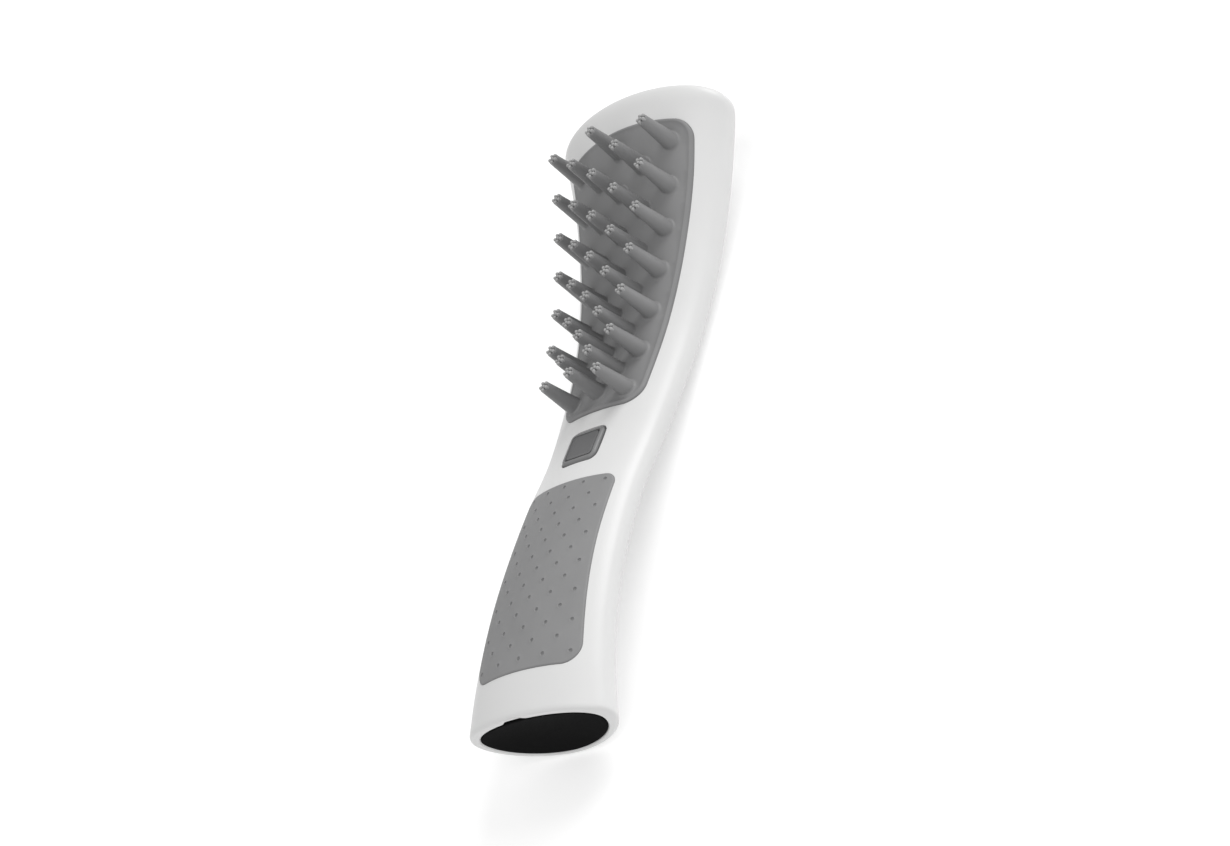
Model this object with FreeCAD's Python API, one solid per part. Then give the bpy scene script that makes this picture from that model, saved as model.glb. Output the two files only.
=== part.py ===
import FreeCAD, Part
import math
import os

# Battery scalp massager brush, lying on its back. Millimetres.
# +X runs from the handle's end cap to the head, +Z is the way the bristles point, and the origin is
# the centre of the footprint on the surface that the brush lies on.

V = FreeCAD.Vector

# ---- driving dimensions ------------------------------------------------------------------------

LENGTH = 200.0
HEEL_X = -LENGTH / 2
HEAD_X = LENGTH / 2

# Lines of the outer skin: (x, value). The skin is symmetric about y = 0.
HALF_WIDTH_LINE = [
    (-100, 27.2), (-86, 25.4), (-66, 23.7), (-40, 22.0), (-16, 21.2),
    (5, 22.6), (30, 24.9), (55, 28.0), (78, 30.9), (100, 34.4),
]
FRONT_LINE = [
    (-100, 24.7), (-86, 27.1), (-68, 28.0), (-50, 26.9), (-30, 23.9), (-12, 19.9),
    (8, 17.4), (28, 16.8), (50, 19.3), (72, 24.5), (90, 30.6), (100, 35.0),
]
MID_LINE = [
    (-100, 14.9), (-86, 17.6), (-68, 19.1), (-50, 18.7), (-30, 16.4), (-12, 12.5),
    (8, 9.4), (28, 7.6), (50, 8.2), (72, 11.7), (90, 17.0), (100, 21.2),
]
BACK_LINE = [
    (-100, 0.0), (-86, 4.2), (-68, 7.2), (-50, 8.1), (-30, 6.8), (-12, 3.6),
    (8, 1.3), (28, 0.0), (50, 0.8), (72, 4.0), (90, 8.3), (100, 11.7),
]
# The back's section is a superellipse: rounder on the handle, flatter on the head.
BACK_ROUND_LINE = [(-100, 1.85), (-50, 1.9), (0, 2.5), (40, 2.9), (100, 2.9)]

WALL = 2.2
HEAD_EDGE_R = 3.0
HEEL_EDGE_R = 0.9
SECTION_STEP = 12.5
SECTION_POINTS = 32
SIDE_STEPS = 6
PROUD_LIMIT = 2.0

# Bristle pad, its carrier and the pocket they sit in
PAD_LINE = [(-2, 15.6), (6, 16.4), (28, 18.8), (50, 21.4), (70, 23.9), (92, 26.2)]
PAD_X = (-1.0, 88.6)
PAD_ARCH = 2.2
PAD_CORNER_R = (6.6, 5.6)
PAD_PROUD = 0.8
PAD_DEPTH = 1.2
CARRIER_T = 1.6
POCKET_FLOOR_T = 1.4
POCKET_RIM = 1.5
CARRIER_INSET = 0.2

CARRIER_SCREW_XY = [(24.0, 9.0), (76.0, 9.0)]
CARRIER_SCREW_R = 0.9
CARRIER_SCREW_L = 2.8
CARRIER_SCREW_HEAD_R = 1.8
CARRIER_SCREW_HEAD_H = 1.1
CROWN_ROOM = 0.5

BRISTLE_ROWS = 13
BRISTLE_FIRST_X = 83.9
BRISTLE_PITCH_X = 6.56
BRISTLE_ARCH = 0.28
BRISTLE_PITCH_Y = (9.4, 5.3)
BRISTLE_LENGTH = 14.6
BRISTLE_END_DROP = 0.6
BRISTLE_BASE_R = 2.75
BRISTLE_TIP_R = 1.7
BRISTLE_ROOT = 1.2
BRISTLE_CROWN = 0.5

# Soft grip inlay
GRIP_LINE = [(-90, 21.3), (-82, 20.4), (-50, 17.8), (-25, 17.2)]
GRIP_X = (-87.4, -26.9)
GRIP_CORNER_R = (5.5, 3.6)
GRIP_PROUD = 0.3
GRIP_DEPTH = 1.0

# Rear cover, let into the back with a rebate
COVER_FRACTION = 0.74
COVER_X = (-84.0, 84.0)
COVER_CORNER_R = (9.0, 9.0)
REBATE = 1.6
SEAM_GAP = 0.1
FIT = 0.05
COVER_SCREW_XY = [(-37.0, 10.5), (14.0, 12.5), (78.0, 16.5)]
COVER_SCREW_HEAD_R = 2.1
COVER_SCREW_HEAD_H = 1.4
COVER_SCREW_R = 1.1
COVER_SCREW_L = 7.0
PILOT_SPARE = 1.0
CROSS = (1.1, 0.25, 0.8)
BOSS_R = 3.0
SCREW_SEAT_T = 1.2
SCREW_SUNK = 0.2

# Power button, set square to the skin at its own station
BUTTON_X = -13.6
BUTTON_BEZEL = (12.8, 14.4)
BUTTON_BEZEL_R = 2.6
BUTTON_BEZEL_RIM = 1.7
BUTTON_BEZEL_PROUD = 0.5
BUTTON_BEZEL_DEPTH = 2.6
BUTTON_GAP = 0.2
BUTTON_PROUD = 0.9
BUTTON_TRAVEL = 0.6
BOARD_DEPTH = 10.4
BOARD = (25.0, 23.0, 1.2)
SWITCH = (6.0, 6.0, 3.0)
PLUNGER_R = 1.5
PLUNGER_H = 0.9
BOARD_POST_R = 2.0
BOARD_SCREW_R = 0.8
BOARD_SCREW_L = 4.0
BOARD_SCREW_HEAD_R = 1.6
BOARD_SCREW_HEAD_H = 1.0
BOARD_CORNER_R = 1.5
SWITCH_CORNER_R = 0.4
PLUNGER_WELL_FLOOR = 1.0
BEZEL_SEAT = -2.9
BEZEL_FLANGE_T = 1.0
BEZEL_FLANGE_W = 1.2
KEY_FLANGE_T = 0.9
KEY_FLANGE_W = 1.0
BUTTON_HOLE_R = 1.5
BOARD_SCREW_XY = [(-10.3, 8.4), (10.3, -8.4)]

# End cap and its socket in the heel
CAP_SIDE_INSET = 4.1
CAP_FACE_INSET = 1.9
CAP_DROP = 0.2
CAP_DEPTH = 6.0
CAP_SLOPE = 0.2
CAP_GAP = 0.15
CAP_WALL = 1.6
CAP_FACE_T = 2.4
CAP_RECESS = 0.1
CAP_CONTACT_BACK = 0.6
CAP_CELL_GAP = 0.15
CAP_BOSS_R = 1.8
CAP_BOSS_SUNK = 0.3
BRIDGE_HALF_H = 2.8
CAP_SPRING_R = 2.4
SEAL_PROUD = 0.05
NOTCH_Y = 2.2
NOTCH_R = 9.0
NOTCH_DEPTH = 1.0
NOTCH_RISE = 1.4
SEAL_X = -96.6
SEAL_W = 1.4
SEAL_T = 0.9

# Two AAA cells side by side
CELL_R = 5.15
CELL_BODY_L = 43.5
CELL_NUB_R = 1.8
CELL_NUB_L = 0.8
CELL_Y = 5.7
CELL_START = (-91.5, 14.45)
CELL_TILT = 5.1
TRAY_HALF_W = 12.4
TRAY_HALF_H = 6.7
TRAY_L = 48.2
TRAY_POCKET_R = 5.45
TRAY_END_T = 1.4
TRAY_START = 0.6
TRAY_GAP = 0.2
CELL_EDGE_R = 0.4
SPRING_L = 2.0
SPRING_R = 2.5
SPRING_TURNS = 2.5
SPRING_WIRE_R = 0.3
SPRING_END_GAP = 0.1
CONTACT_T = 0.4
CONTACT_HALF = 3.4
CONTACT_STUD_R = 1.2

# Vibration motor, across the head
MOTOR_X = 62.0
MOTOR_Z = 10.6
CAN_R = 5.0
CAN_T = 0.5
CAN_Y = (-11.0, 4.0)
END_BELL_T = 2.0
END_BELL_STEP = 0.1
SHAFT_R = 0.75
SHAFT_RUN_GAP = 0.03
SHAFT_Y = (-12.6, 14.6)
WEIGHT_R = 4.7
WEIGHT_Y = (7.0, 14.0)
WEIGHT_FLAT = 0.4
WEIGHT_HUB_R = 1.9
ARMATURE_R = 3.1
ARMATURE_INSET = 3.5
COMMUTATOR_R = 1.6
COMMUTATOR_START = 0.6
MAGNET_R = (3.45, 4.5)
MAGNET_INSET = 3.0
MAGNET_SLOT = 1.5
CLAMP_T = 1.1
CLAMP_Y = (-6.5, -0.5)
CLAMP_EAR_X = 8.6
CLAMP_EAR_HALF = 2.0
CLAMP_EAR_T = 1.2
CLAMP_POST_R = 1.9
CLAMP_SCREW_R = 0.7
CLAMP_SCREW_L = 4.0
CLAMP_SCREW_HEAD = (1.5, 1.0)
CRADLE_Y = (-9.6, 2.6)
CRADLE_HALF = (6.5, 0.8)
CRADLE_FOOT_Z = 1.5
CRADLE_TOP_GAP = 0.5
TERMINAL_Z = (8.4, 12.8)
TERMINAL = (0.4, 2.4, 1.8)

WIRE_R = 0.55
MOTOR_WIRE_Y = 3.0
MOTOR_WIRE_LEAD = 9.0
BATTERY_WIRE_Y = 5.0
BATTERY_WIRE_LOW = 3.0
BATTERY_WIRE_LEAD = 4.6


# ---- the skin ----------------------------------------------------------------------------------

def smooth(line, x):
    """The value at x on a smooth curve through the points of a line."""
    last = len(line) - 1
    i = 0
    while i < last - 1 and x > line[i + 1][0]:
        i += 1

    def slope(k):
        a = line[max(k - 1, 0)]
        b = line[min(k + 1, last)]
        return (b[1] - a[1]) / (b[0] - a[0])

    (x0, y0), (x1, y1) = line[i], line[i + 1]
    h = x1 - x0
    t = (x - x0) / h
    return (
        y0 * (1 + 2 * t) * (1 - t) ** 2
        + slope(i) * h * t * (1 - t) ** 2
        + y1 * t * t * (3 - 2 * t)
        + slope(i + 1) * h * t * t * (t - 1)
    )


def section(x, side, face):
    """Closed section of the skin at x, moved out by side in y and by face in z."""
    half = smooth(HALF_WIDTH_LINE, x) + side
    mid = smooth(MID_LINE, x)
    rise = smooth(FRONT_LINE, x) - mid + face
    fall = mid - smooth(BACK_LINE, x) + face
    power = 2.0 / smooth(BACK_ROUND_LINE, x)
    points = []
    for i in range(SECTION_POINTS):
        angle = 2 * math.pi * i / SECTION_POINTS
        c, s = math.cos(angle), math.sin(angle)
        if s >= 0:
            y, z = half * c, mid + rise * s
        else:
            y = half * math.copysign(abs(c) ** power, c)
            z = mid - fall * abs(s) ** power
        points.append(V(x, y, z))
    curve = Part.BSplineCurve()
    curve.interpolate(Points=points, PeriodicFlag=True)
    return Part.Wire(curve.toShape())


def skin(offset, x0=HEEL_X, x1=HEAD_X):
    """The solid inside the outer skin moved by offset, between two stations."""
    count = max(3, int(round((x1 - x0) / SECTION_STEP)) + 1)
    xs = [x0 + (x1 - x0) * i / (count - 1) for i in range(count)]
    return Part.makeLoft([section(x, offset, offset) for x in xs], True, False)


def front_z(x, y=0.0):
    """Height of the outer skin's front at x, y."""
    half = smooth(HALF_WIDTH_LINE, x)
    mid = smooth(MID_LINE, x)
    return mid + (smooth(FRONT_LINE, x) - mid) * math.sqrt(max(1 - (y / half) ** 2, 0.0))


def back_z(x, y=0.0):
    """Height of the outer skin's back at x, y."""
    half = smooth(HALF_WIDTH_LINE, x)
    mid = smooth(MID_LINE, x)
    power = smooth(BACK_ROUND_LINE, x)
    return mid - (mid - smooth(BACK_LINE, x)) * max(1 - abs(y / half) ** power, 0.0) ** (1 / power)


# ---- helpers -----------------------------------------------------------------------------------

def prism(side_line, ends, corner_r, grow=0.0, arch=0.0, low=-30.0, high=80.0):
    """Upright prism whose plan has curved sides, two ends and (heel, head) corner radii."""
    x0, x1 = ends[0] - grow, ends[1] + grow
    xs = [x0 + (x1 - x0) * i / SIDE_STEPS for i in range(SIDE_STEPS + 1)]
    right = [V(x, -smooth(side_line, x) - grow, low) for x in xs]
    left = [V(p.x, -p.y, low) for p in reversed(right)]
    curve_right = Part.BSplineCurve()
    curve_right.interpolate(Points=right)
    curve_left = Part.BSplineCurve()
    curve_left.interpolate(Points=left)
    if arch:
        head_end = Part.Arc(right[-1], V(x1 + arch, 0, low), left[0])
    else:
        head_end = Part.LineSegment(right[-1], left[0])
    heel_end = Part.LineSegment(left[-1], right[0])
    wire = Part.Wire([e.toShape() for e in (curve_right, head_end, curve_left, heel_end)])
    solid = Part.Face(wire).extrude(V(0, 0, high - low))
    for x, r in ((x0, corner_r[0]), (x1, corner_r[1])):
        corners = [
            e for e in solid.Edges
            if abs(e.BoundBox.ZLength - (high - low)) < 1e-3 and abs(e.CenterOfMass.x - x) < 1e-3
        ]
        solid = solid.makeFillet(r + grow, corners)
    return solid


def cylinder_z(x, y, z0, z1, r):
    return Part.makeCylinder(r, z1 - z0, V(x, y, z0))


def cylinder_y(x, z, y0, y1, r):
    return Part.makeCylinder(r, y1 - y0, V(x, y0, z), V(0, 1, 0))


def block(x, y, z):
    """Box from three (low, high) pairs."""
    return Part.makeBox(x[1] - x[0], y[1] - y[0], z[1] - z[0], V(x[0], y[0], z[0]))


def rounded_block(size_x, size_y, z0, z1, r):
    """Box centred on the local z axis with rounded upright edges."""
    solid = block((-size_x / 2, size_x / 2), (-size_y / 2, size_y / 2), (z0, z1))
    upright = [e for e in solid.Edges if abs(e.Vertexes[0].Z - e.Vertexes[1].Z) > 1e-6]
    return solid.makeFillet(r, upright)


def tube(points, r):
    """Round wire along straight runs joined by tangent arcs. Returns the solid and its arc radii."""
    pts = [V(*p) for p in points]
    edges = []
    radii = []
    start = pts[0]
    for a, b, c in zip(pts, pts[1:], pts[2:]):
        run_in, run_out = b - a, c - b
        turn = run_in.getAngle(run_out)
        setback = 0.45 * min(run_in.Length, run_out.Length)
        radii.append(round(setback / math.tan(turn / 2), 1))
        u, w = V(run_in).normalize(), V(run_out).normalize()
        enter, leave = b - u * setback, b + w * setback
        middle_dir = (w - u).normalize()
        radius = setback / math.tan(turn / 2)
        middle = b + middle_dir * (radius / math.cos(turn / 2) - radius)
        edges.append(Part.LineSegment(start, enter).toShape())
        edges.append(Part.Arc(enter, middle, leave).toShape())
        start = leave
    edges.append(Part.LineSegment(start, pts[-1]).toShape())
    path = Part.Wire(edges)
    profile = Part.Wire(Part.makeCircle(r, pts[0], pts[1] - pts[0]))
    return path.makePipeShell([profile], True, False), radii


def coil(radius, wire_r, length, turns):
    """Compression spring standing on the local origin along +Z."""
    pitch = (length - 2 * wire_r) / turns
    helix = Part.makeHelix(pitch, pitch * turns, radius)
    profile = Part.Wire(Part.makeCircle(wire_r, V(radius, 0, 0), V(0, 1, 0)))
    solid = Part.Wire(helix.Edges).makePipeShell([profile], True, True)
    solid.translate(V(0, 0, wire_r))
    return solid


def placed(shape, placement):
    moved = shape.copy()
    moved.Placement = placement.multiply(moved.Placement)
    return moved


def front_part(solid):
    """The frontmost of the separate pieces of a shape."""
    return max(solid.Solids, key=lambda piece: piece.CenterOfMass.z)


def back_part(solid):
    """The rearmost of the separate pieces of a shape."""
    return min(solid.Solids, key=lambda piece: piece.CenterOfMass.z)


nodes = {}

# ---- casing ------------------------------------------------------------------------------------

proud_limit = skin(PROUD_LIMIT)
outer = skin(0.0)
layer = skin(-PAD_DEPTH)
cavity = skin(-WALL, HEEL_X + CAP_DEPTH, HEAD_X - WALL)
pocket_floor = skin(-PAD_DEPTH - CARRIER_T - FIT)
pocket_under = skin(-PAD_DEPTH - CARRIER_T - FIT - POCKET_FLOOR_T)


def end_edges(solid, x):
    """Edges that lie in the plane at x."""
    boxes = [(e, e.BoundBox) for e in solid.Edges]
    return [e for e, b in boxes if abs(b.XMin - x) < 0.01 and abs(b.XMax - x) < 0.01]


body = outer.makeFillet(HEAD_EDGE_R, end_edges(outer, HEAD_X))
body = body.makeFillet(HEEL_EDGE_R, end_edges(body, HEEL_X))
shell = body.cut(cavity)

# Pad pocket: a thicker stretch of wall with the pocket cut into its front
pad_plan = prism(PAD_LINE, PAD_X, PAD_CORNER_R, 0.0, PAD_ARCH)
pocket_plan = prism(PAD_LINE, PAD_X, PAD_CORNER_R, SEAM_GAP, PAD_ARCH)
rim_plan = prism(PAD_LINE, PAD_X, PAD_CORNER_R, POCKET_RIM, PAD_ARCH)
thick_wall = front_part(skin(-WALL / 2).common(rim_plan).cut(pocket_under))
pocket = front_part(proud_limit.common(pocket_plan).cut(pocket_floor))

grip_plan = prism(GRIP_LINE, GRIP_X, GRIP_CORNER_R)
grip_pocket = front_part(
    proud_limit.common(prism(GRIP_LINE, GRIP_X, GRIP_CORNER_R, SEAM_GAP)).cut(skin(-GRIP_DEPTH - FIT))
)

# Cap socket in the heel, along the handle's own slope
cap_way = V(1, 0, CAP_SLOPE)


def heel_oval(x, inset):
    """Solid of the cap's oval from x to the inner end of the socket, moved in by inset."""
    wire = section(HEEL_X, -CAP_SIDE_INSET - inset, -CAP_FACE_INSET - inset)
    wire.translate(cap_way * (x - HEEL_X) - V(0, 0, CAP_DROP))
    return Part.Face(wire).extrude(cap_way * (HEEL_X + CAP_DEPTH - x))


socket = heel_oval(HEEL_X, 0.0).fuse(heel_oval(HEEL_X + CAP_DEPTH - FIT, 0.0).translate(cap_way * FIT))
notch_z = smooth(FRONT_LINE, HEEL_X) - CAP_FACE_INSET - CAP_DROP
notch_base = V(HEEL_X, NOTCH_Y, notch_z - NOTCH_R + NOTCH_RISE)
notch = Part.makeCylinder(NOTCH_R, NOTCH_DEPTH, notch_base, V(1, 0, 0))

# Screw posts for the rear cover and the circuit board
posts = []
pilots = []
for x, y in [(x, y * side) for x, y in COVER_SCREW_XY for side in (-1, 1)]:
    seat = back_z(x, y) + COVER_SCREW_HEAD_H + SCREW_SUNK
    posts.append(cylinder_z(x, y, seat + SCREW_SEAT_T + FIT, front_z(x, y) - WALL / 2, BOSS_R))
    pilots.append(cylinder_z(x, y, seat, seat + COVER_SCREW_L + PILOT_SPARE, COVER_SCREW_R))

button_slope = (front_z(BUTTON_X + 1) - front_z(BUTTON_X - 1)) / 2
button_tilt = -math.degrees(math.atan(button_slope))
button_place = FreeCAD.Placement(
    V(BUTTON_X, 0, front_z(BUTTON_X)), FreeCAD.Rotation(V(0, 1, 0), button_tilt)
)
button_hole = placed(
    rounded_block(BUTTON_BEZEL[0] + SEAM_GAP, BUTTON_BEZEL[1] + SEAM_GAP, -5.0, 5.0, BUTTON_BEZEL_R),
    button_place,
)
for x, y in BOARD_SCREW_XY:
    posts.append(placed(cylinder_z(x, y, -BOARD_DEPTH, -WALL / 2, BOARD_POST_R), button_place))
    pilot = cylinder_z(x, y, -BOARD_DEPTH, -BOARD_DEPTH + BOARD_SCREW_L, BOARD_SCREW_R)
    pilots.append(placed(pilot, button_place))

casing = shell.fuse([thick_wall] + posts)
casing = casing.cut([pocket, grip_pocket, socket, notch, button_hole] + pilots)

# Carrier screws hold the pad's carrier from inside
carrier_holes = []
carrier_screws = []
for x, y in [(x, y * side) for x, y in CARRIER_SCREW_XY for side in (-1, 1)]:
    under = front_z(x, y) - PAD_DEPTH - CARRIER_T - POCKET_FLOOR_T - CROWN_ROOM
    hole = cylinder_z(x, y, under - 1.0, under + CARRIER_SCREW_L, CARRIER_SCREW_R)
    seat_pad = cylinder_z(x, y, under, under + 1.0, CARRIER_SCREW_HEAD_R)
    casing = casing.fuse(seat_pad)
    carrier_holes.append(hole)
    head = cylinder_z(x, y, under - CARRIER_SCREW_HEAD_H, under, CARRIER_SCREW_HEAD_R)
    shank = cylinder_z(x, y, under, under + CARRIER_SCREW_L, CARRIER_SCREW_R)
    carrier_screws.append(head.fuse(shank))
casing = casing.cut(carrier_holes)

# Rear cover in its rebated opening
cover_line = [(x, COVER_FRACTION * w) for x, w in HALF_WIDTH_LINE]
cover_flange = back_part(outer.common(prism(cover_line, COVER_X, COVER_CORNER_R)).cut(skin(-WALL / 2)))
cover_inner_plan = prism(cover_line, COVER_X, COVER_CORNER_R, -REBATE)
cover_body = back_part(skin(-WALL / 2 + FIT).common(cover_inner_plan).cut(cavity))
flange_cut = back_part(
    proud_limit.common(prism(cover_line, COVER_X, COVER_CORNER_R, SEAM_GAP)).cut(skin(-WALL / 2 - FIT))
)
through_cut = back_part(
    outer.common(prism(cover_line, COVER_X, COVER_CORNER_R, SEAM_GAP - REBATE)).cut(skin(-WALL - 0.5))
)
# The cover's opening must not trim the posts that stand over it.
wall_only = shell.common(flange_cut.fuse(through_cut))
nodes["front_casing"] = casing.cut(wall_only)

cover = cover_flange.fuse(cover_body)
screw_ways = []
cover_screws = []
for x, y in [(x, y * side) for x, y in COVER_SCREW_XY for side in (-1, 1)]:
    seat = back_z(x, y) + COVER_SCREW_HEAD_H + SCREW_SUNK
    cover = cover.fuse(cylinder_z(x, y, seat - 1.0, seat + SCREW_SEAT_T, BOSS_R))
    screw_ways.append(cylinder_z(x, y, -1.0, seat, COVER_SCREW_HEAD_R + SEAM_GAP))
    screw_ways.append(cylinder_z(x, y, seat - 1.0, seat + SCREW_SEAT_T + 1.0, COVER_SCREW_R + SEAM_GAP))
    head = cylinder_z(x, y, seat - COVER_SCREW_HEAD_H, seat, COVER_SCREW_HEAD_R)
    cross_z = (seat - COVER_SCREW_HEAD_H, seat - COVER_SCREW_HEAD_H + CROSS[2])
    cross = block((x - CROSS[0], x + CROSS[0]), (y - CROSS[1], y + CROSS[1]), cross_z)
    cross = cross.fuse(block((x - CROSS[1], x + CROSS[1]), (y - CROSS[0], y + CROSS[0]), cross_z))
    cover_screws.append(head.fuse(cylinder_z(x, y, seat, seat + COVER_SCREW_L, COVER_SCREW_R)).cut(cross))
nodes["cover_screws"] = Part.makeCompound(cover_screws)
nodes["carrier_screws"] = Part.makeCompound(carrier_screws)

# Motor cradle: two saddles and two clamp posts standing on the cover
can_space = cylinder_y(MOTOR_X, MOTOR_Z, CAN_Y[0] - 3, CAN_Y[1] + 3, CAN_R + FIT)
cradle = []
for y in CRADLE_Y:
    saddle_x = (MOTOR_X - CRADLE_HALF[0], MOTOR_X + CRADLE_HALF[0])
    saddle_y = (y - CRADLE_HALF[1], y + CRADLE_HALF[1])
    cradle.append(block(saddle_x, saddle_y, (CRADLE_FOOT_Z, MOTOR_Z - CRADLE_TOP_GAP)))
clamp_mid_y = (CLAMP_Y[0] + CLAMP_Y[1]) / 2
clamp_pilots = []
for side in (-1, 1):
    x = MOTOR_X + side * CLAMP_EAR_X
    cradle.append(cylinder_z(x, clamp_mid_y, CRADLE_FOOT_Z, MOTOR_Z - FIT, CLAMP_POST_R))
    clamp_pilots.append(cylinder_z(x, clamp_mid_y, MOTOR_Z - CLAMP_SCREW_L, MOTOR_Z, CLAMP_SCREW_R))
inside_of_back = skin(-WALL / 2 - FIT)
cradle = [piece.common(inside_of_back) for piece in cradle]
nodes["rear_cover"] = cover.fuse(cradle).cut([can_space] + screw_ways + clamp_pilots)

# ---- bristle pad -------------------------------------------------------------------------------

pad_sheet = front_part(skin(PAD_PROUD).common(pad_plan).cut(layer))
nodes["pad_carrier"] = front_part(
    skin(-PAD_DEPTH - FIT)
    .common(prism(PAD_LINE, PAD_X, PAD_CORNER_R, -CARRIER_INSET, PAD_ARCH))
    .cut(skin(-PAD_DEPTH - CARRIER_T))
).cut(carrier_holes)


def bristle_places():
    """(x, y, length) of each bristle: rows of three and two by turns, closer together at the neck."""
    places = []
    for row in range(BRISTLE_ROWS):
        share = row / (BRISTLE_ROWS - 1)
        pitch = BRISTLE_PITCH_Y[0] + (BRISTLE_PITCH_Y[1] - BRISTLE_PITCH_Y[0]) * share
        columns = (-2, 0, 2) if row % 2 == 0 else (-1, 1)
        for column in columns:
            x = BRISTLE_FIRST_X - row * BRISTLE_PITCH_X - BRISTLE_ARCH * column ** 2
            length = BRISTLE_LENGTH - BRISTLE_END_DROP * (2 * share - 1) ** 2
            places.append((x, column * pitch, length))
    return places


bristles = []
for x, y, length in bristle_places():
    root = front_z(x, y) + PAD_PROUD - BRISTLE_ROOT
    tip = front_z(x, y) + length
    stem = Part.makeCone(BRISTLE_BASE_R, BRISTLE_TIP_R, tip - BRISTLE_CROWN - root, V(x, y, root))
    crown_r = BRISTLE_TIP_R - BRISTLE_CROWN
    crown = Part.makeCone(BRISTLE_TIP_R, crown_r, BRISTLE_CROWN, V(x, y, tip - BRISTLE_CROWN))
    bristles.append(stem.fuse(crown).cut(layer))
nodes["bristle_pad"] = Part.makeCompound([pad_sheet.cut(bristles)] + bristles)

# ---- grip inlay --------------------------------------------------------------------------------

nodes["grip_inlay"] = front_part(skin(GRIP_PROUD).common(grip_plan).cut(skin(-GRIP_DEPTH)))

# ---- power button, switch and circuit board, in the button's own frame -------------------------

bezel = rounded_block(*BUTTON_BEZEL, BEZEL_SEAT, BUTTON_BEZEL_PROUD, BUTTON_BEZEL_R)
flange_size = [d + 2 * BEZEL_FLANGE_W for d in BUTTON_BEZEL]
bezel = bezel.fuse(rounded_block(*flange_size, BEZEL_SEAT - BEZEL_FLANGE_T, BEZEL_SEAT, BUTTON_BEZEL_R))
hole_size = [d - 2 * BUTTON_BEZEL_RIM for d in BUTTON_BEZEL]
bezel = bezel.cut(rounded_block(*hole_size, -BOARD_DEPTH, BUTTON_PROUD, BUTTON_HOLE_R))
nodes["button_bezel"] = placed(bezel, button_place)

key_size = [d - 2 * BUTTON_GAP for d in hole_size]
key_low = BEZEL_SEAT - BEZEL_FLANGE_T - SEAM_GAP
key = rounded_block(*key_size, key_low, BUTTON_PROUD, BUTTON_HOLE_R - BUTTON_GAP)
key_flange = [d + 2 * KEY_FLANGE_W for d in key_size]
key = key.fuse(rounded_block(*key_flange, key_low - KEY_FLANGE_T, key_low, BUTTON_HOLE_R))
switch_top = -BOARD_DEPTH + SWITCH[2]
plunger_top = switch_top + PLUNGER_H
key = key.fuse(cylinder_z(0, 0, plunger_top + FIT, key_low, PLUNGER_R))
nodes["power_button"] = placed(key, button_place)

plunger_low = -BOARD_DEPTH + PLUNGER_WELL_FLOOR
plunger = cylinder_z(0, 0, plunger_low, plunger_top, PLUNGER_R)
plunger_well = cylinder_z(0, 0, plunger_low - BUTTON_TRAVEL - FIT, plunger_top, PLUNGER_R + FIT)
nodes["switch_plunger"] = placed(plunger, button_place)
switch = rounded_block(SWITCH[0], SWITCH[1], -BOARD_DEPTH, switch_top, SWITCH_CORNER_R)
nodes["switch_body"] = placed(switch.cut(plunger_well), button_place)

board = rounded_block(BOARD[0], BOARD[1], -BOARD_DEPTH - BOARD[2], -BOARD_DEPTH, BOARD_CORNER_R)
board_screws = []
for x, y in BOARD_SCREW_XY:
    under = -BOARD_DEPTH - BOARD[2]
    board = board.cut(cylinder_z(x, y, under - 1, -BOARD_DEPTH + 1, BOARD_SCREW_R))
    head = cylinder_z(x, y, under - BOARD_SCREW_HEAD_H, under, BOARD_SCREW_HEAD_R)
    shank = cylinder_z(x, y, under, -BOARD_DEPTH + BOARD_SCREW_L, BOARD_SCREW_R)
    board_screws.append(placed(head.fuse(shank), button_place))
nodes["circuit_board"] = placed(board, button_place)
nodes["board_screws"] = Part.makeCompound(board_screws)

# ---- batteries, tray and contacts, in the cells' own frame -------------------------------------

cell_place = FreeCAD.Placement(
    V(CELL_START[0], 0, CELL_START[1]), FreeCAD.Rotation(V(0, 1, 0), 90 - CELL_TILT)
)
# In this frame local z runs along the cells towards the head, y is the row's y and -x is the front.


def cell(y, nub_first):
    low = CELL_NUB_L if nub_first else 0.0
    can = Part.makeCylinder(CELL_R, CELL_BODY_L, V(0, y, low))
    can = can.makeFillet(CELL_EDGE_R, can.Edges[:1] + can.Edges[2:3])
    nub_low = 0.0 if nub_first else CELL_BODY_L
    return can.fuse(Part.makeCylinder(CELL_NUB_R, CELL_NUB_L, V(0, y, nub_low)))


cell_length = CELL_BODY_L + CELL_NUB_L
nodes["battery_left"] = placed(cell(CELL_Y, False), cell_place)
nodes["battery_right"] = placed(cell(-CELL_Y, True), cell_place)

tray = block((-TRAY_HALF_H, TRAY_HALF_H), (-TRAY_HALF_W, TRAY_HALF_W), (TRAY_START, TRAY_L))
for y in (-CELL_Y, CELL_Y):
    tray = tray.cut(Part.makeCylinder(TRAY_POCKET_R, TRAY_L - TRAY_END_T, V(0, y, 0)))
nodes["battery_tray"] = placed(tray, cell_place).common(skin(-WALL - TRAY_GAP))

plate_top = TRAY_L - TRAY_END_T
plate_side = (-CONTACT_HALF, CONTACT_HALF)
plate = block(plate_side, plate_side, (plate_top - CONTACT_T, plate_top))
stud_l = plate_top - CONTACT_T - cell_length - FIT
stud = Part.makeCylinder(CONTACT_STUD_R, stud_l, V(0, 0, cell_length + FIT))
positive = plate.fuse(stud)
positive.translate(V(0, CELL_Y, 0))
nodes["positive_contact"] = placed(positive, cell_place)
spring = coil(SPRING_R, SPRING_WIRE_R, SPRING_L, SPRING_TURNS)
spring.translate(V(0, -CELL_Y, plate_top - CONTACT_T - SPRING_L))
negative_plate = plate.copy()
negative_plate.translate(V(0, -CELL_Y, 0))
nodes["negative_spring"] = placed(spring, cell_place)
nodes["negative_contact"] = placed(negative_plate, cell_place)

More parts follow.
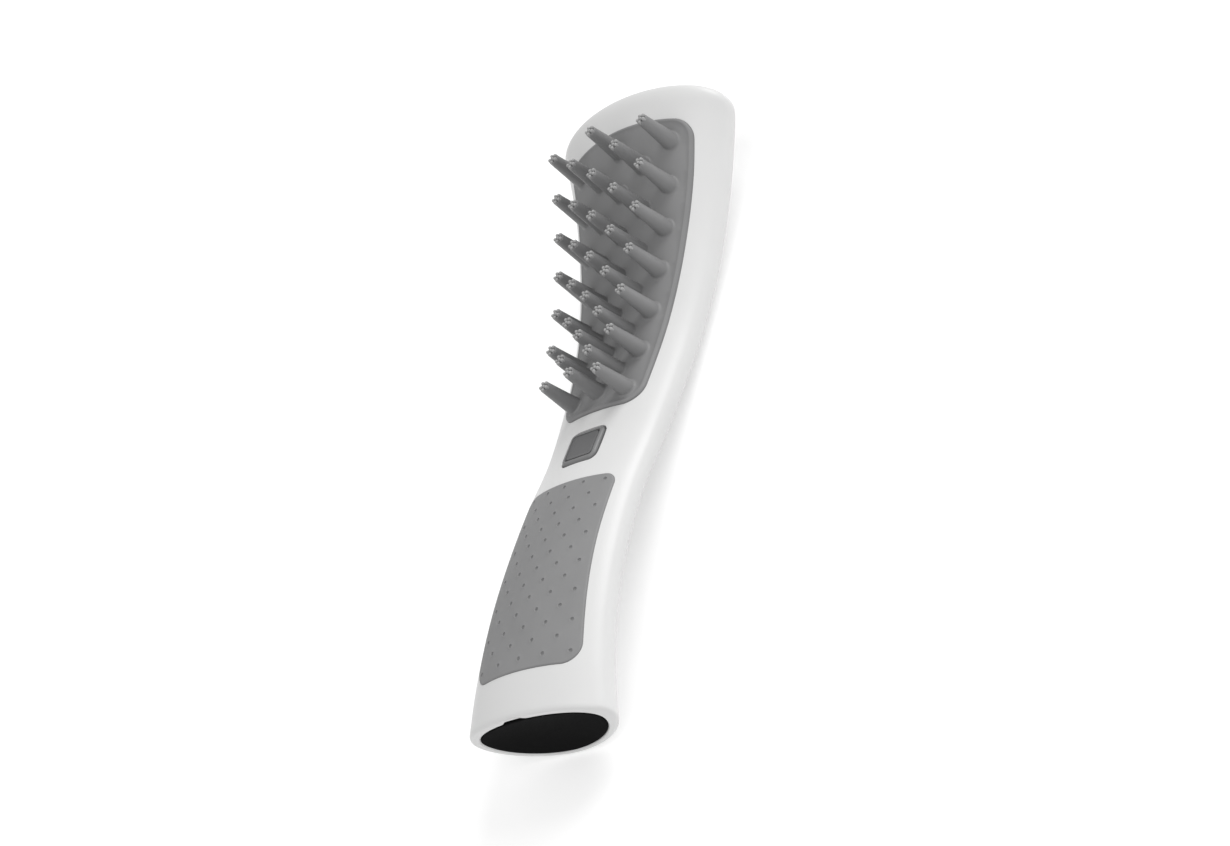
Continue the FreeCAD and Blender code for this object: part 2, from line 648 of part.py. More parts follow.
# ---- end cap -----------------------------------------------------------------------------------

cap_inner_x = HEEL_X + CAP_DEPTH
cap_face_x = HEEL_X + CAP_RECESS
cap = heel_oval(cap_face_x, CAP_GAP).cut(heel_oval(cap_face_x + CAP_FACE_T, CAP_GAP + CAP_WALL))
seal_ring = heel_oval(HEEL_X, CAP_GAP - SEAL_PROUD).cut(heel_oval(HEEL_X, CAP_GAP + SEAL_T))
seal_band = block((SEAL_X - SEAL_W / 2, SEAL_X + SEAL_W / 2), (-40, 40), (-10, 50))
seal = seal_ring.common(seal_band)
nodes["cap_seal"] = seal
cell_z = CELL_START[1]
bosses = []
bridge_x = cap_inner_x - CAP_CONTACT_BACK
boss_x = cap_face_x + CAP_FACE_T - CAP_BOSS_SUNK
for y in (-CELL_Y, CELL_Y):
    boss = Part.makeCylinder(CAP_BOSS_R, bridge_x - boss_x, V(boss_x, y, cell_z), V(1, 0, 0))
    bosses.append(boss)
nodes["end_cap"] = cap.cut(seal_band.common(seal_ring)).fuse(bosses)

bridge_y = (-CELL_Y - BRIDGE_HALF_H, CELL_Y + BRIDGE_HALF_H)
bridge_z = (cell_z - BRIDGE_HALF_H, cell_z + BRIDGE_HALF_H)
bridge = block((bridge_x, bridge_x + CONTACT_T), bridge_y, bridge_z)
reach = CELL_START[0] - CAP_CELL_GAP - bridge_x - CONTACT_T
stud_base = V(bridge_x + CONTACT_T, -CELL_Y, cell_z)
bridge = bridge.fuse(Part.makeCylinder(CONTACT_STUD_R, reach, stud_base, V(1, 0, 0)))
nodes["cap_bridge_contact"] = bridge
cap_spring = coil(CAP_SPRING_R, SPRING_WIRE_R, reach - SPRING_END_GAP, SPRING_TURNS)
nodes["cap_spring"] = placed(
    cap_spring,
    FreeCAD.Placement(V(bridge_x + CONTACT_T, CELL_Y, cell_z), FreeCAD.Rotation(V(0, 1, 0), 90)),
)

# ---- vibration motor ---------------------------------------------------------------------------

can = cylinder_y(MOTOR_X, MOTOR_Z, CAN_Y[0], CAN_Y[1], CAN_R)
can = can.cut(cylinder_y(MOTOR_X, MOTOR_Z, CAN_Y[0], CAN_Y[1] - CAN_T, CAN_R - CAN_T))
shaft_way = cylinder_y(MOTOR_X, MOTOR_Z, -20, 20, SHAFT_R + SHAFT_RUN_GAP)
nodes["motor_can"] = can.cut(shaft_way)
bell = cylinder_y(MOTOR_X, MOTOR_Z, CAN_Y[0] - END_BELL_T, CAN_Y[0], CAN_R - END_BELL_STEP)
nodes["motor_end_bell"] = bell.cut(shaft_way)
magnet_y = (CAN_Y[0] + MAGNET_INSET, CAN_Y[1] - MAGNET_INSET)
magnet_ring = cylinder_y(MOTOR_X, MOTOR_Z, *magnet_y, MAGNET_R[1])
magnet_ring = magnet_ring.cut(cylinder_y(MOTOR_X, MOTOR_Z, *magnet_y, MAGNET_R[0]))
gap_slab = block((MOTOR_X - MAGNET_SLOT, MOTOR_X + MAGNET_SLOT), magnet_y, (0, 30))
nodes["motor_magnets"] = Part.makeCompound(magnet_ring.cut(gap_slab).Solids)
shaft = cylinder_y(MOTOR_X, MOTOR_Z, SHAFT_Y[0], SHAFT_Y[1], SHAFT_R)
nodes["motor_shaft"] = shaft
armature_y = (CAN_Y[0] + ARMATURE_INSET, CAN_Y[1] - ARMATURE_INSET)
nodes["armature"] = cylinder_y(MOTOR_X, MOTOR_Z, *armature_y, ARMATURE_R).cut(shaft)
commutator_y = (CAN_Y[0] + COMMUTATOR_START, armature_y[0])
nodes["commutator"] = cylinder_y(MOTOR_X, MOTOR_Z, *commutator_y, COMMUTATOR_R).cut(shaft)
weight = cylinder_y(MOTOR_X, MOTOR_Z, WEIGHT_Y[0], WEIGHT_Y[1], WEIGHT_R)
weight_x = (MOTOR_X - WEIGHT_R, MOTOR_X + WEIGHT_R)
weight = weight.cut(block(weight_x, WEIGHT_Y, (MOTOR_Z + WEIGHT_FLAT, MOTOR_Z + WEIGHT_R)))
weight = weight.fuse(cylinder_y(MOTOR_X, MOTOR_Z, *WEIGHT_Y, WEIGHT_HUB_R)).cut(shaft)
nodes["eccentric_weight"] = weight

clamp = cylinder_y(MOTOR_X, MOTOR_Z, CLAMP_Y[0], CLAMP_Y[1], CAN_R + FIT + CLAMP_T)
ear_reach = CLAMP_EAR_X + CLAMP_EAR_HALF
ear_x = (MOTOR_X - ear_reach, MOTOR_X + ear_reach)
ear_top = MOTOR_Z + CLAMP_EAR_T
clamp = clamp.fuse(block(ear_x, CLAMP_Y, (MOTOR_Z, ear_top)))
clamp = clamp.common(block(ear_x, CLAMP_Y, (MOTOR_Z, MOTOR_Z + 2 * CAN_R))).cut(can_space)
clamp_screws = []
for side in (-1, 1):
    x = MOTOR_X + side * CLAMP_EAR_X
    shank = cylinder_z(x, clamp_mid_y, MOTOR_Z - CLAMP_SCREW_L, ear_top, CLAMP_SCREW_R)
    clamp = clamp.cut(shank)
    head_r, head_h = CLAMP_SCREW_HEAD
    head = cylinder_z(x, clamp_mid_y, ear_top, ear_top + head_h, head_r)
    clamp_screws.append(head.fuse(shank))
nodes["motor_clamp"] = clamp
nodes["clamp_screws"] = Part.makeCompound(clamp_screws)

# ---- wires -------------------------------------------------------------------------------------

terminals = []
bell_y = CAN_Y[0] - END_BELL_T
terminal_x = MOTOR_X - 1.4
terminal_y = bell_y - 1.4
for z in TERMINAL_Z:
    half_h = TERMINAL[2] / 2
    blade_x = (terminal_x, terminal_x + TERMINAL[0])
    terminals.append(block(blade_x, (bell_y - TERMINAL[1], bell_y), (z - half_h, z + half_h)))
nodes["motor_terminals"] = Part.makeCompound(terminals)

board_mid = -BOARD_DEPTH - BOARD[2] / 2
radii = {}
for colour, side, terminal_z in (("red", 1, TERMINAL_Z[1]), ("black", -1, TERMINAL_Z[0])):
    name = "motor_wire_" + colour
    start = button_place.multVec(V(BOARD[0] / 2, MOTOR_WIRE_Y * side, board_mid))
    ahead = button_place.multVec(V(BOARD[0] / 2 + MOTOR_WIRE_LEAD, MOTOR_WIRE_Y * side, board_mid))
    middle = [(18.0, 1.6 * side - 2.0, 5.5), (32.0, 2.0 * side - 8.0, 5.8)]
    bend = [(43.0, 0.6 * side - 13.2, terminal_z - 1.8), (terminal_x - 8.5, terminal_y, terminal_z)]
    route = [tuple(start), tuple(ahead)] + middle + bend + [(terminal_x, terminal_y, terminal_z)]
    nodes[name], radii[name] = tube(route, WIRE_R)
for colour, side in (("red", 1), ("black", -1)):
    name = "battery_wire_" + colour
    start = cell_place.multVec(V(BATTERY_WIRE_LOW, CELL_Y * side, TRAY_L))
    leave = cell_place.multVec(V(BATTERY_WIRE_LOW, CELL_Y * side, TRAY_L + BATTERY_WIRE_LEAD))
    meet_x = -BOARD[0] / 2 - BATTERY_WIRE_LEAD
    meet = button_place.multVec(V(meet_x, BATTERY_WIRE_Y * side, board_mid))
    end = button_place.multVec(V(-BOARD[0] / 2, BATTERY_WIRE_Y * side, board_mid))
    nodes[name], radii[name] = tube([tuple(start), tuple(leave), tuple(meet), tuple(end)], WIRE_R)

# ---- output ------------------------------------------------------------------------------------

os.makedirs("parts", exist_ok=True)
for name, shape in nodes.items():
    shape.exportStep("parts/" + name + ".step")
    print(name, shape.isValid(), len(shape.Solids), round(shape.Volume, 1))
print("wire radii", radii)
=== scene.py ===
import math

import bmesh
import bpy
import numpy as np
from mathutils import Matrix, Vector, geometry, kdtree


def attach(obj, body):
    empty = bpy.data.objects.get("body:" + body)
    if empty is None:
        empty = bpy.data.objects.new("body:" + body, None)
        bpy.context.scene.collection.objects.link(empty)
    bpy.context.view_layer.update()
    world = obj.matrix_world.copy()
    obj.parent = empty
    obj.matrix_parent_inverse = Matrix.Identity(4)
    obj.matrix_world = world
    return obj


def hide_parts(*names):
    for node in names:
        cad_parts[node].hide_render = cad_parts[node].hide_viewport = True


# Scalp massager brush, lying on its back. Geometry is worked out in millimetres in the row frame
# and scaled to metres when a mesh is made. +X runs from the end cap to the head, and +Z is the way
# the bristles point.

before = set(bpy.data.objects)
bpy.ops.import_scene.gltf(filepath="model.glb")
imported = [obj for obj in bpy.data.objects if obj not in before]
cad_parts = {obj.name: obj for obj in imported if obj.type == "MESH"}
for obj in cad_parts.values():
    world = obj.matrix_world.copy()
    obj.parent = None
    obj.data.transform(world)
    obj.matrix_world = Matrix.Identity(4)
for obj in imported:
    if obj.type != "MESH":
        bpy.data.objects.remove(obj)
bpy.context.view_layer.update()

MM = 0.001

# ---- driving dimensions: the CAD part's own, and finer ones for what shows ----

HEEL_X = -100.0
HEAD_X = 100.0
HALF_WIDTH_LINE = [
    (-100, 27.2), (-86, 25.4), (-66, 23.7), (-40, 22.0), (-16, 21.2),
    (5, 22.6), (30, 24.9), (55, 28.0), (78, 30.9), (100, 34.4),
]
FRONT_LINE = [
    (-100, 24.7), (-86, 27.1), (-68, 28.0), (-50, 26.9), (-30, 23.9), (-12, 19.9),
    (8, 17.4), (28, 16.8), (50, 19.3), (72, 24.5), (90, 30.6), (100, 35.0),
]
MID_LINE = [
    (-100, 14.9), (-86, 17.6), (-68, 19.1), (-50, 18.7), (-30, 16.4), (-12, 12.5),
    (8, 9.4), (28, 7.6), (50, 8.2), (72, 11.7), (90, 17.0), (100, 21.2),
]
BACK_LINE = [
    (-100, 0.0), (-86, 4.2), (-68, 7.2), (-50, 8.1), (-30, 6.8), (-12, 3.6),
    (8, 1.3), (28, 0.0), (50, 0.8), (72, 4.0), (90, 8.3), (100, 11.7),
]
BACK_ROUND_LINE = [(-100, 1.85), (-50, 1.9), (0, 2.5), (40, 2.9), (100, 2.9)]

WALL = 2.2
SEAM_GAP = 0.1
VISIBLE_GAP = 0.04
EDGE_R = 0.15
EDGE_SUPPORT = 0.12
SEAT_GAP = 0.05
ARC_STEPS = 5
CORNER_POINTS = 9
ROUND_SIDES = 32
CLOSING_SHARES = (0.8, 0.6, 0.4, 0.2)
SHARP_ANGLE = 38.0
SOFT_SHARP_ANGLE = 60.0
CAD_SHARP_ANGLE = 30.0
WELD = 0.002
GRID_ROOM = 0.55

PAD_LINE = [(-2, 15.6), (6, 16.4), (28, 18.8), (50, 21.4), (70, 23.9), (92, 26.2)]
PAD_X = (-1.0, 88.6)
PAD_ARCH = 2.2
PAD_CORNER_R = (6.6, 5.6)
PAD_PROUD = 0.8
PAD_DEPTH = 1.2
PAD_EDGE_R = 0.7
# (distance in from the edge's rounding, rise) over the bead round the pad's face
PAD_BEAD = [(0.3, 0.0), (0.22, 0.06), (0.13, 0.07), (0.05, 0.02)]
POCKET_DEPTH = 2.85
POCKET_BACK = 4.25
POCKET_RIM = 1.5
POCKET_SPACING = 4.0
POCKET_BACK_SPACING = 5.0
FACE_SPACING = 1.3

BRISTLE_ROWS = 13
BRISTLE_FIRST_X = 83.9
BRISTLE_PITCH_X = 6.56
BRISTLE_ARCH = 0.28
BRISTLE_PITCH_Y = (9.4, 5.3)
BRISTLE_LENGTH = 14.6
BRISTLE_END_DROP = 0.6
BRISTLE_BASE_R = 2.75
BRISTLE_TIP_R = 1.68
BRISTLE_TAPER = 1.05
BRISTLE_FILLET = 0.7
BRISTLE_SIDES = 40
BRISTLE_FOOT_RIM = 0.1
BRISTLE_LEAN_FADE = 1.5
STEM_RINGS = 9
TIP_RIM_R = 0.2
TIP_DISH = 0.45
NUB_COUNT = 5
NUB_R = 0.53
NUB_RING_R = 1.22
NUB_H = 0.75
NUB_SIDES = 12
NUB_TURN = math.radians(30)
NUB_ROOT = 0.5

GRIP_LINE = [(-90, 21.3), (-82, 20.4), (-50, 17.8), (-25, 17.2)]
GRIP_X = (-87.4, -26.9)
GRIP_CORNER_R = (5.5, 3.6)
GRIP_PROUD = 0.3
GRIP_DEPTH = 1.0
GRIP_EDGE_R = 0.45
DIMPLE_R = 0.6
DIMPLE_DEPTH = 0.5
DIMPLE_LIP = 0.07
DIMPLE_SIDES = 16
DIMPLE_ROWS = 13
DIMPLE_FIRST_X = -29.0
DIMPLE_PITCH_X = 4.58
DIMPLE_PITCH_Y = [(-84, 8.8), (-50, 7.2), (-29, 7.2)]
DIMPLE_EDGE_ROOM = 1.9
# (share of the radius, share of the lip's height or of the dimple's depth), from the outside in
DIMPLE_LIP_RINGS = [(1.75, 0.0), (1.5, 0.6), (1.25, 1.0), (1.05, 0.6)]
DIMPLE_BOWL_RINGS = [(0.95, 0.15), (0.85, 0.6), (0.65, 0.9), (0.35, 1.0)]

COVER_FRACTION = 0.74
COVER_X = (-84.0, 84.0)
COVER_CORNER_R = (9.0, 9.0)
COVER_EDGE_R = 0.25
REBATE = 1.6
FLANGE_T = 1.1
COVER_SCREW_XY = [(-37.0, 10.5), (14.0, 12.5), (78.0, 16.5)]
COVER_SCREW_HEAD_H = 1.4
SCREW_SUNK = 0.2
SCREW_WELL_R = 2.2
SCREW_WELL_EDGE_R = 0.35
SCREW_HOLE_R = 1.2
SCREW_SEAT_T = 1.2
BOSS_R = 3.0
BOSS_CHAMFER = 0.2
PILOT_R = 1.1
PILOT_DEPTH = 6.0

BUTTON_X = -13.6
BUTTON_BEZEL = (12.8, 14.4)
BUTTON_BEZEL_R = 2.6
BUTTON_BEZEL_RIM = 1.7
BUTTON_HOLE_R = 1.5
BUTTON_HOLE_EDGE_R = 0.1
BUTTON_GAP = 0.2
BUTTON_GROOVE = 0.2
BEZEL_GROOVE = 0.46
BEZEL_SEAT = -2.9
BEZEL_FLANGE = 1.2
BEZEL_FLANGE_T = 1.0
# (distance in from the groove's wall, height) over the surround's rounded shoulder
BEZEL_SHOULDER = [(0.0, -0.35), (0.04, -0.12), (0.16, 0.16), (0.4, 0.4), (0.66, 0.52), (0.82, 0.57)]
# (distance out from the button's opening, height) where the surround turns down to the button
BEZEL_LIP = [(0.14, 0.57), (0.04, 0.53), (0.0, 0.42)]
KEY_FLANGE = 0.9
KEY_FLANGE_DROP = 1.1
KEY_EDGE_Z = 0.34
KEY_EDGE_R = 0.2
# (distance in from the groove's wall, height) over the button's slightly dished top
KEY_TOP = [(0.34, 0.52), (0.6, 0.45), (1.0, 0.43)]
KEY_MIDDLE_Z = 0.4
KEY_CLOSING_SHARES = (0.75, 0.5, 0.25)
STEM_R = 1.5
STEM_CHAMFER = 0.2
STEM_ROOT = 0.3
PLUNGER_TOP = 3.95  # above the board
BOARD_DEPTH = 10.4
BOARD_SCREW_XY = [(-10.3, 8.4), (10.3, -8.4)]
BOARD_POST_R = 2.0
BOARD_POST_CHAMFER = 0.1
BOARD_POST_PILOT = (0.8, 4.0)
BOARD_POST_SHORT = 1.3

CAP_SIDE_INSET = 4.1
CAP_FACE_INSET = 1.9
CAP_DROP = 0.2
CAP_DEPTH = 6.0
CAP_SLOPE = 0.2
CAP_GAP = 0.15
CAP_WALL = 1.6
CAP_FACE_T = 2.4
CAP_RECESS = 0.1
CAP_DISH = 0.9
CAP_DISH_SHARES = (0.94, 0.85, 0.7, 0.5, 0.3, 0.12)
CAP_EDGE_R = 0.4
CAP_CHAMFER = 0.2
CAP_SEAL_X = (2.7, 4.1)  # the seal's groove, measured in from the heel's end
CAP_SEAL_DEPTH = 0.9
CAP_PIN_XYZ = (2.3, 5.7, 14.45)
CAP_PIN_R = 1.8
CAP_PIN_LENGTH = 3.1
CAP_PIN_CHAMFER = 0.1
HEEL_EDGE_X = 1.7
HEEL_EDGE_SIDE = 2.2
HEEL_EDGE_FACE = 0.95
SOCKET_EDGE_SIDE = 0.5
SOCKET_EDGE_FACE = 0.35
SOCKET_EDGE_DEPTH = 0.4
NOTCH_Y = 2.2
NOTCH_HALF = 4.8
NOTCH_RISE = 1.4
NOTCH_DEPTH = 1.0
NOTCH_ABOVE_Z = 18.0
HEAD_EDGE_X = 5.0
HEAD_EDGE_SIDE = 6.0
HEAD_EDGE_FACE = 1.6
HEAD_ARCH = 1.5
HEAD_ARCH_START = 91.5
HEAD_CROWN = 0.6

MOTOR_X = 62.0
MOTOR_Z = 10.6
CAN_R = 5.05
SADDLE_Y = (-9.6, 2.6)
SADDLE_HALF = (6.5, 0.8)
SADDLE_TOP_DROP = 0.5
SADDLE_STEPS = 17
CRADLE_Z = 3.2  # foot of the saddles and posts
CLAMP_POST_SIDE = 8.6
CLAMP_POST_Y = -3.5
CLAMP_POST_R = 1.9
CLAMP_POST_HEIGHT = 7.3
CLAMP_POST_CHAMFER = 0.1
CLAMP_PILOT = (0.7, 3.4)


# ---- the skin ----

def smooth(line, x):
    """The value at x, a number or an array, on a smooth curve through the points of a line."""
    px = np.array([p[0] for p in line], float)
    py = np.array([p[1] for p in line], float)
    last = len(line) - 1
    before = np.maximum(np.arange(last + 1) - 1, 0)
    after = np.minimum(np.arange(last + 1) + 1, last)
    slope = (py[after] - py[before]) / (px[after] - px[before])
    i = np.clip(np.searchsorted(px, x) - 1, 0, last - 1)
    h = px[i + 1] - px[i]
    t = (x - px[i]) / h
    return (
        py[i] * (1 + 2 * t) * (1 - t) ** 2
        + slope[i] * h * t * (1 - t) ** 2
        + py[i + 1] * t * t * (3 - 2 * t)
        + slope[i + 1] * h * t * t * (t - 1)
    )


def front_z(x, y, off=0.0):
    """Height of the front of the skin moved out by off."""
    half = smooth(HALF_WIDTH_LINE, x) + off
    mid = smooth(MID_LINE, x)
    rise = smooth(FRONT_LINE, x) - mid + off
    return mid + rise * np.sqrt(np.clip(1 - (y / half) ** 2, 0, 1))


def back_z(x, y, off=0.0):
    """Height of the back of the skin moved out by off."""
    half = smooth(HALF_WIDTH_LINE, x) + off
    mid = smooth(MID_LINE, x)
    fall = mid - smooth(BACK_LINE, x) + off
    n = smooth(BACK_ROUND_LINE, x)
    return mid - fall * np.clip(1 - np.abs(y / half) ** n, 0, 1) ** (1 / n)


def skin_point(x, turn, side=0.0, face=0.0):
    """Points of the section at x. turn is 0 at +y, pi/2 at the front and 3pi/2 at the back."""
    x, turn = np.broadcast_arrays(np.asarray(x, float), np.asarray(turn, float))
    half = smooth(HALF_WIDTH_LINE, x) + side
    mid = smooth(MID_LINE, x)
    rise = smooth(FRONT_LINE, x) - mid + face
    fall = mid - smooth(BACK_LINE, x) + face
    n = smooth(BACK_ROUND_LINE, x)
    c = np.cos(turn)
    front = mid + rise * np.sqrt(np.clip(1 - c ** 2, 0, 1))
    back = mid - fall * np.clip(1 - np.abs(c) ** n, 0, 1) ** (1 / n)
    z = np.where(np.sin(turn) >= 0, front, back)
    return np.stack([x, half * c, z], -1)


# ---- outlines in plan ----

def bisect(f, a, b):
    """Where f changes sign between a and b."""
    fa = f(a)
    for _ in range(40):
        m = (a + b) / 2
        if (f(m) > 0) == (fa > 0):
            a = m
        else:
            b = m
    return (a + b) / 2


def sweep(a, b, length, spacing):
    """Parameters from a to b, without b, for a stretch of that length."""
    count = max(2, int(math.ceil(length / spacing)))
    return np.linspace(a, b, count, endpoint=False)


def plan_outline(line, ends, corner_r, arch=0.0, spacing=1.0):
    """Closed outline with curved sides and rounded corners. Returns its points and outward normals."""
    x0, x1 = ends
    r0, r1 = corner_r

    def side(x):
        step = 0.01
        slope = (smooth(line, x + step) - smooth(line, x - step)) / (2 * step)
        normal = np.array([-slope, 1.0]) / math.hypot(slope, 1.0)
        return np.array([x, smooth(line, x)]), normal

    def centre(x, r):
        p, n = side(x)
        return p - r * n

    def turn(direction):
        return math.atan2(direction[1], direction[0])

    def corner(middle, r, start, end, closer=0.6):
        """Points and normals along an arc, clockwise."""
        rows = []
        for t in sweep(start, end, r * (start - end), spacing * closer):
            n = np.array([math.cos(t), math.sin(t)])
            rows.append((*(middle + r * n), *n))
        return rows

    a = bisect(lambda x: centre(x, r0)[0] - (x0 + r0), x0, x0 + 3 * r0)
    c0 = centre(a, r0)
    if arch:
        reach = smooth(line, x1)
        big_r = (reach ** 2 + arch ** 2) / (2 * arch)
        big_c = np.array([x1 + arch - big_r, 0.0])
        b = bisect(lambda x: np.linalg.norm(centre(x, r1) - big_c) - (big_r - r1), x1 - 3 * r1, x1)
    else:
        b = bisect(lambda x: centre(x, r1)[0] - (x1 - r1), x1 - 3 * r1, x1)
    c1 = centre(b, r1)

    half = [(x0, y, -1.0, 0.0) for y in sweep(0, c0[1], c0[1], spacing)]
    half += corner(c0, r0, math.pi, turn(side(a)[1]))
    for x in sweep(a, b, b - a, spacing):
        p, n = side(x)
        half.append((*p, *n))
    end_turn = turn(c1 - big_c) if arch else 0.0
    half += corner(c1, r1, turn(side(b)[1]), end_turn)
    if arch:
        half += corner(big_c, big_r, end_turn, 0.0, 1.0)
    else:
        half += [(x1, y, 1.0, 0.0) for y in sweep(c1[1], 0, c1[1], spacing)]
    half.append((x1 + arch, 0.0, 1.0, 0.0))
    half = np.array(half)
    right = half * np.array([1, -1, 1, -1])
    loop = np.vstack([right, half[1:-1][::-1]])
    return loop[:, :2], loop[:, 2:]


def circle(x, y, r, sides=ROUND_SIDES):
    """Points of a circle."""
    t = np.arange(sides) * 2 * math.pi / sides
    return np.array([x, y]) + r * np.stack([np.cos(t), np.sin(t)], -1)


def rounded_rectangle(size, r, spacing=0.5):
    """Outline of a rounded rectangle about the origin and its outward normals."""
    hx, hy = size[0] / 2 - r, size[1] / 2 - r
    corners = [(hx, hy, 0), (-hx, hy, 90), (-hx, -hy, 180), (hx, -hy, 270)]
    rows = []
    for k, (cx, cy, start) in enumerate(corners):
        for t in np.linspace(math.radians(start), math.radians(start + 90), CORNER_POINTS):
            n = np.array([math.cos(t), math.sin(t)])
            rows.append((cx + r * n[0], cy + r * n[1], *n))
        end, normal = np.array(rows[-1][:2]), rows[-1][2:]
        straight = np.array(corners[(k + 1) % 4][:2]) + r * np.array(normal) - end
        count = max(2, int(math.hypot(*straight) / spacing))
        for share in np.linspace(0, 1, count, endpoint=False)[1:]:
            rows.append((*(end + straight * share), *normal))
    rows = np.array(rows)
    return rows[:, :2], rows[:, 2:]


def inside(points, loop):
    """Which 2-D points lie inside a closed loop."""
    result = np.zeros(len(points), bool)
    x, y = points.T
    for (ax, ay), (bx, by) in zip(loop, np.roll(loop, -1, axis=0)):
        if ay == by:
            continue
        crosses = ((ay > y) != (by > y)) & (x < (bx - ax) * (y - ay) / (by - ay) + ax)
        result ^= crosses
    return result


def between(points, loops):
    """Which 2-D points lie inside the first loop and outside the others."""
    keep = inside(points, loops[0])
    for loop in loops[1:]:
        near = np.all((points > loop.min(0)) & (points < loop.max(0)), axis=1)
        keep[near] &= ~inside(points[near], loop)
    return keep


# ---- mesh building ----

class Piece:
    """Points and faces of one piece, in millimetres."""

    def __init__(self):
        self.points = []
        self.faces = []
        # Points that the material paints with a highlight (the bristles' nubs)
        self.highlight_points = []

    def add(self, points):
        """Adds points and returns their numbers."""
        start = len(self.points)
        self.points.extend(np.asarray(points, float).reshape(-1, 3).tolist())
        return np.arange(start, len(self.points))

    def at(self, numbers):
        """The points with these numbers."""
        return np.array(self.points)[numbers]

    def strip(self, a, b):
        """Faces between two rings of points."""
        for i in range(len(a)):
            j = (i + 1) % len(a)
            self.faces.append((a[i], a[j], b[j], b[i]))

    def strips(self, loops):
        """Faces between each ring and the next."""
        for a, b in zip(loops, loops[1:]):
            self.strip(a, b)

    def fan(self, loop, centre):
        """Triangles from a ring to a point in its middle."""
        middle = self.add([centre])[0]
        for i in range(len(loop)):
            self.faces.append((loop[i], loop[(i + 1) % len(loop)], middle))

    def fill(self, flat_loops, numbers, spacing, place):
        """Fills the first loop, less the loops inside it. Flat coordinates go through place to 3-D."""
        flat = np.vstack(flat_loops)
        known = np.concatenate(numbers)
        edges = []
        start = 0
        for loop in flat_loops:
            n = len(loop)
            edges += [(start + i, start + (i + 1) % n) for i in range(n)]
            start += n
        low, high = flat_loops[0].min(0), flat_loops[0].max(0)
        step_y = spacing * math.sqrt(3) / 2
        grid = []
        for row, y in enumerate(np.arange(low[1] + step_y / 2, high[1], step_y)):
            shift = spacing / 2 if row % 2 else 0.0
            for x in np.arange(low[0] + spacing / 2 + shift, high[0], spacing):
                grid.append((x, y))
        grid = np.array(grid)
        grid = grid[between(grid, flat_loops)]
        tree = kdtree.KDTree(len(flat))
        for i, p in enumerate(flat):
            tree.insert((p[0], p[1], 0), i)
        tree.balance()
        grid = np.array([g for g in grid if tree.find((g[0], g[1], 0))[2] > GRID_ROOM * spacing])
        grid = grid.reshape(-1, 2)
        added = self.add(place(grid)) if len(grid) else np.zeros(0, int)
        every = np.vstack([flat, grid])
        number = np.concatenate([known, added])
        mesh = geometry.delaunay_2d_cdt([Vector(p) for p in every], edges, [], 0, 1e-9)
        origin = [o[0] for o in mesh[3]]
        triangles = np.array([[origin[v] for v in f] for f in mesh[2]])
        good = between(every[triangles].mean(1), flat_loops)
        self.faces.extend(map(tuple, number[triangles[good]].tolist()))

    def fill_plan(self, loops, spacing, place):
        """Fills between rings already in the piece, seen from above."""
        self.fill([self.at(loop)[:, :2] for loop in loops], loops, spacing, place)

    def lathe(self, axis_point, axis, profile, sides=ROUND_SIDES):
        """Closed solid of revolution from (radius, height) pairs along an axis."""
        axis = Vector(axis).normalized()
        across = axis.orthogonal().normalized()
        other = axis.cross(across)
        base = Vector(axis_point)
        loops = []
        for r, h in profile:
            ring = []
            for k in range(sides):
                t = 2 * math.pi * k / sides
                ring.append(base + axis * h + (across * math.cos(t) + other * math.sin(t)) * r)
            loops.append(self.add([list(p) for p in ring]))
        self.strips(loops)
        self.faces.append(tuple(loops[0][::-1]))
        self.faces.append(tuple(loops[-1]))

    def object(self, name, material, sharp=SHARP_ANGLE):
        """The finished mesh object, welded, with smooth shading and faces turned outward."""
        mesh = bpy.data.meshes.new(name)
        faces = [tuple(int(v) for v in f) for f in self.faces]
        mesh.from_pydata((np.array(self.points) * MM).tolist(), [], faces)
        # Marks the points that the material paints with a highlight
        if self.highlight_points:
            share = np.zeros(len(self.points), np.float32)
            share[self.highlight_points] = 1.0
            mesh.attributes.new("nub_highlight", "FLOAT", "POINT").data.foreach_set("value", share)
        work = bmesh.new()
        work.from_mesh(mesh)
        bmesh.ops.remove_doubles(work, verts=work.verts, dist=WELD * MM)
        bmesh.ops.recalc_face_normals(work, faces=work.faces)
        work.to_mesh(mesh)
        work.free()
        mesh.shade_smooth()
        mesh.set_sharp_from_angle(angle=math.radians(sharp))
        mesh.materials.append(material)
        made = bpy.data.objects.new(name, mesh)
        bpy.context.scene.collection.objects.link(made)
        return made


def arc(start_deg, end_deg, steps=ARC_STEPS):
    """Evenly spaced angles, in radians."""
    return np.radians(np.linspace(start_deg, end_deg, steps + 1))


def on_front(plan, off):
    """Plan points raised to the front of the skin moved out by off."""
    return np.column_stack([plan, front_z(*plan.T, off)])


def on_back(plan, off):
    """Plan points raised to the back of the skin moved out by off."""
    return np.column_stack([plan, back_z(*plan.T, off)])


def edge_rings(outline, gap, r, on_skin, top=0.0, steps=ARC_STEPS):
    """Rings that round the edge of an opening, from the skin in to the top of the opening's wall.

    A negative gap and r round the edge of an inlay instead, whose face lies at top."""
    points, normals = outline
    support = math.copysign(EDGE_SUPPORT, r)
    rings = [on_skin(points + normals * (gap + r + support), top)]
    for a in arc(0, 90, steps):
        plan = points + normals * (gap + r * (1 - math.sin(a)))
        rings.append(on_skin(plan, top - abs(r) * (1 - math.cos(a))))
    return rings


# ---- materials ----

TONE_RANGE = (0.3, 0.7)  # where most of a noise's values lie
CELL_BAND_X = (-0.0600, -0.0595)  # metres


def new_material(name):
    """A new material with its nodes, its links and its shader."""
    material = bpy.data.materials.new(name)
    material.use_nodes = True
    nodes = material.node_tree.nodes
    return material, nodes, material.node_tree.links, nodes["Principled BSDF"]


def put(node, values):
    """Sets a node's sockets by name."""
    for socket, value in values.items():
        node.inputs[socket].default_value = value


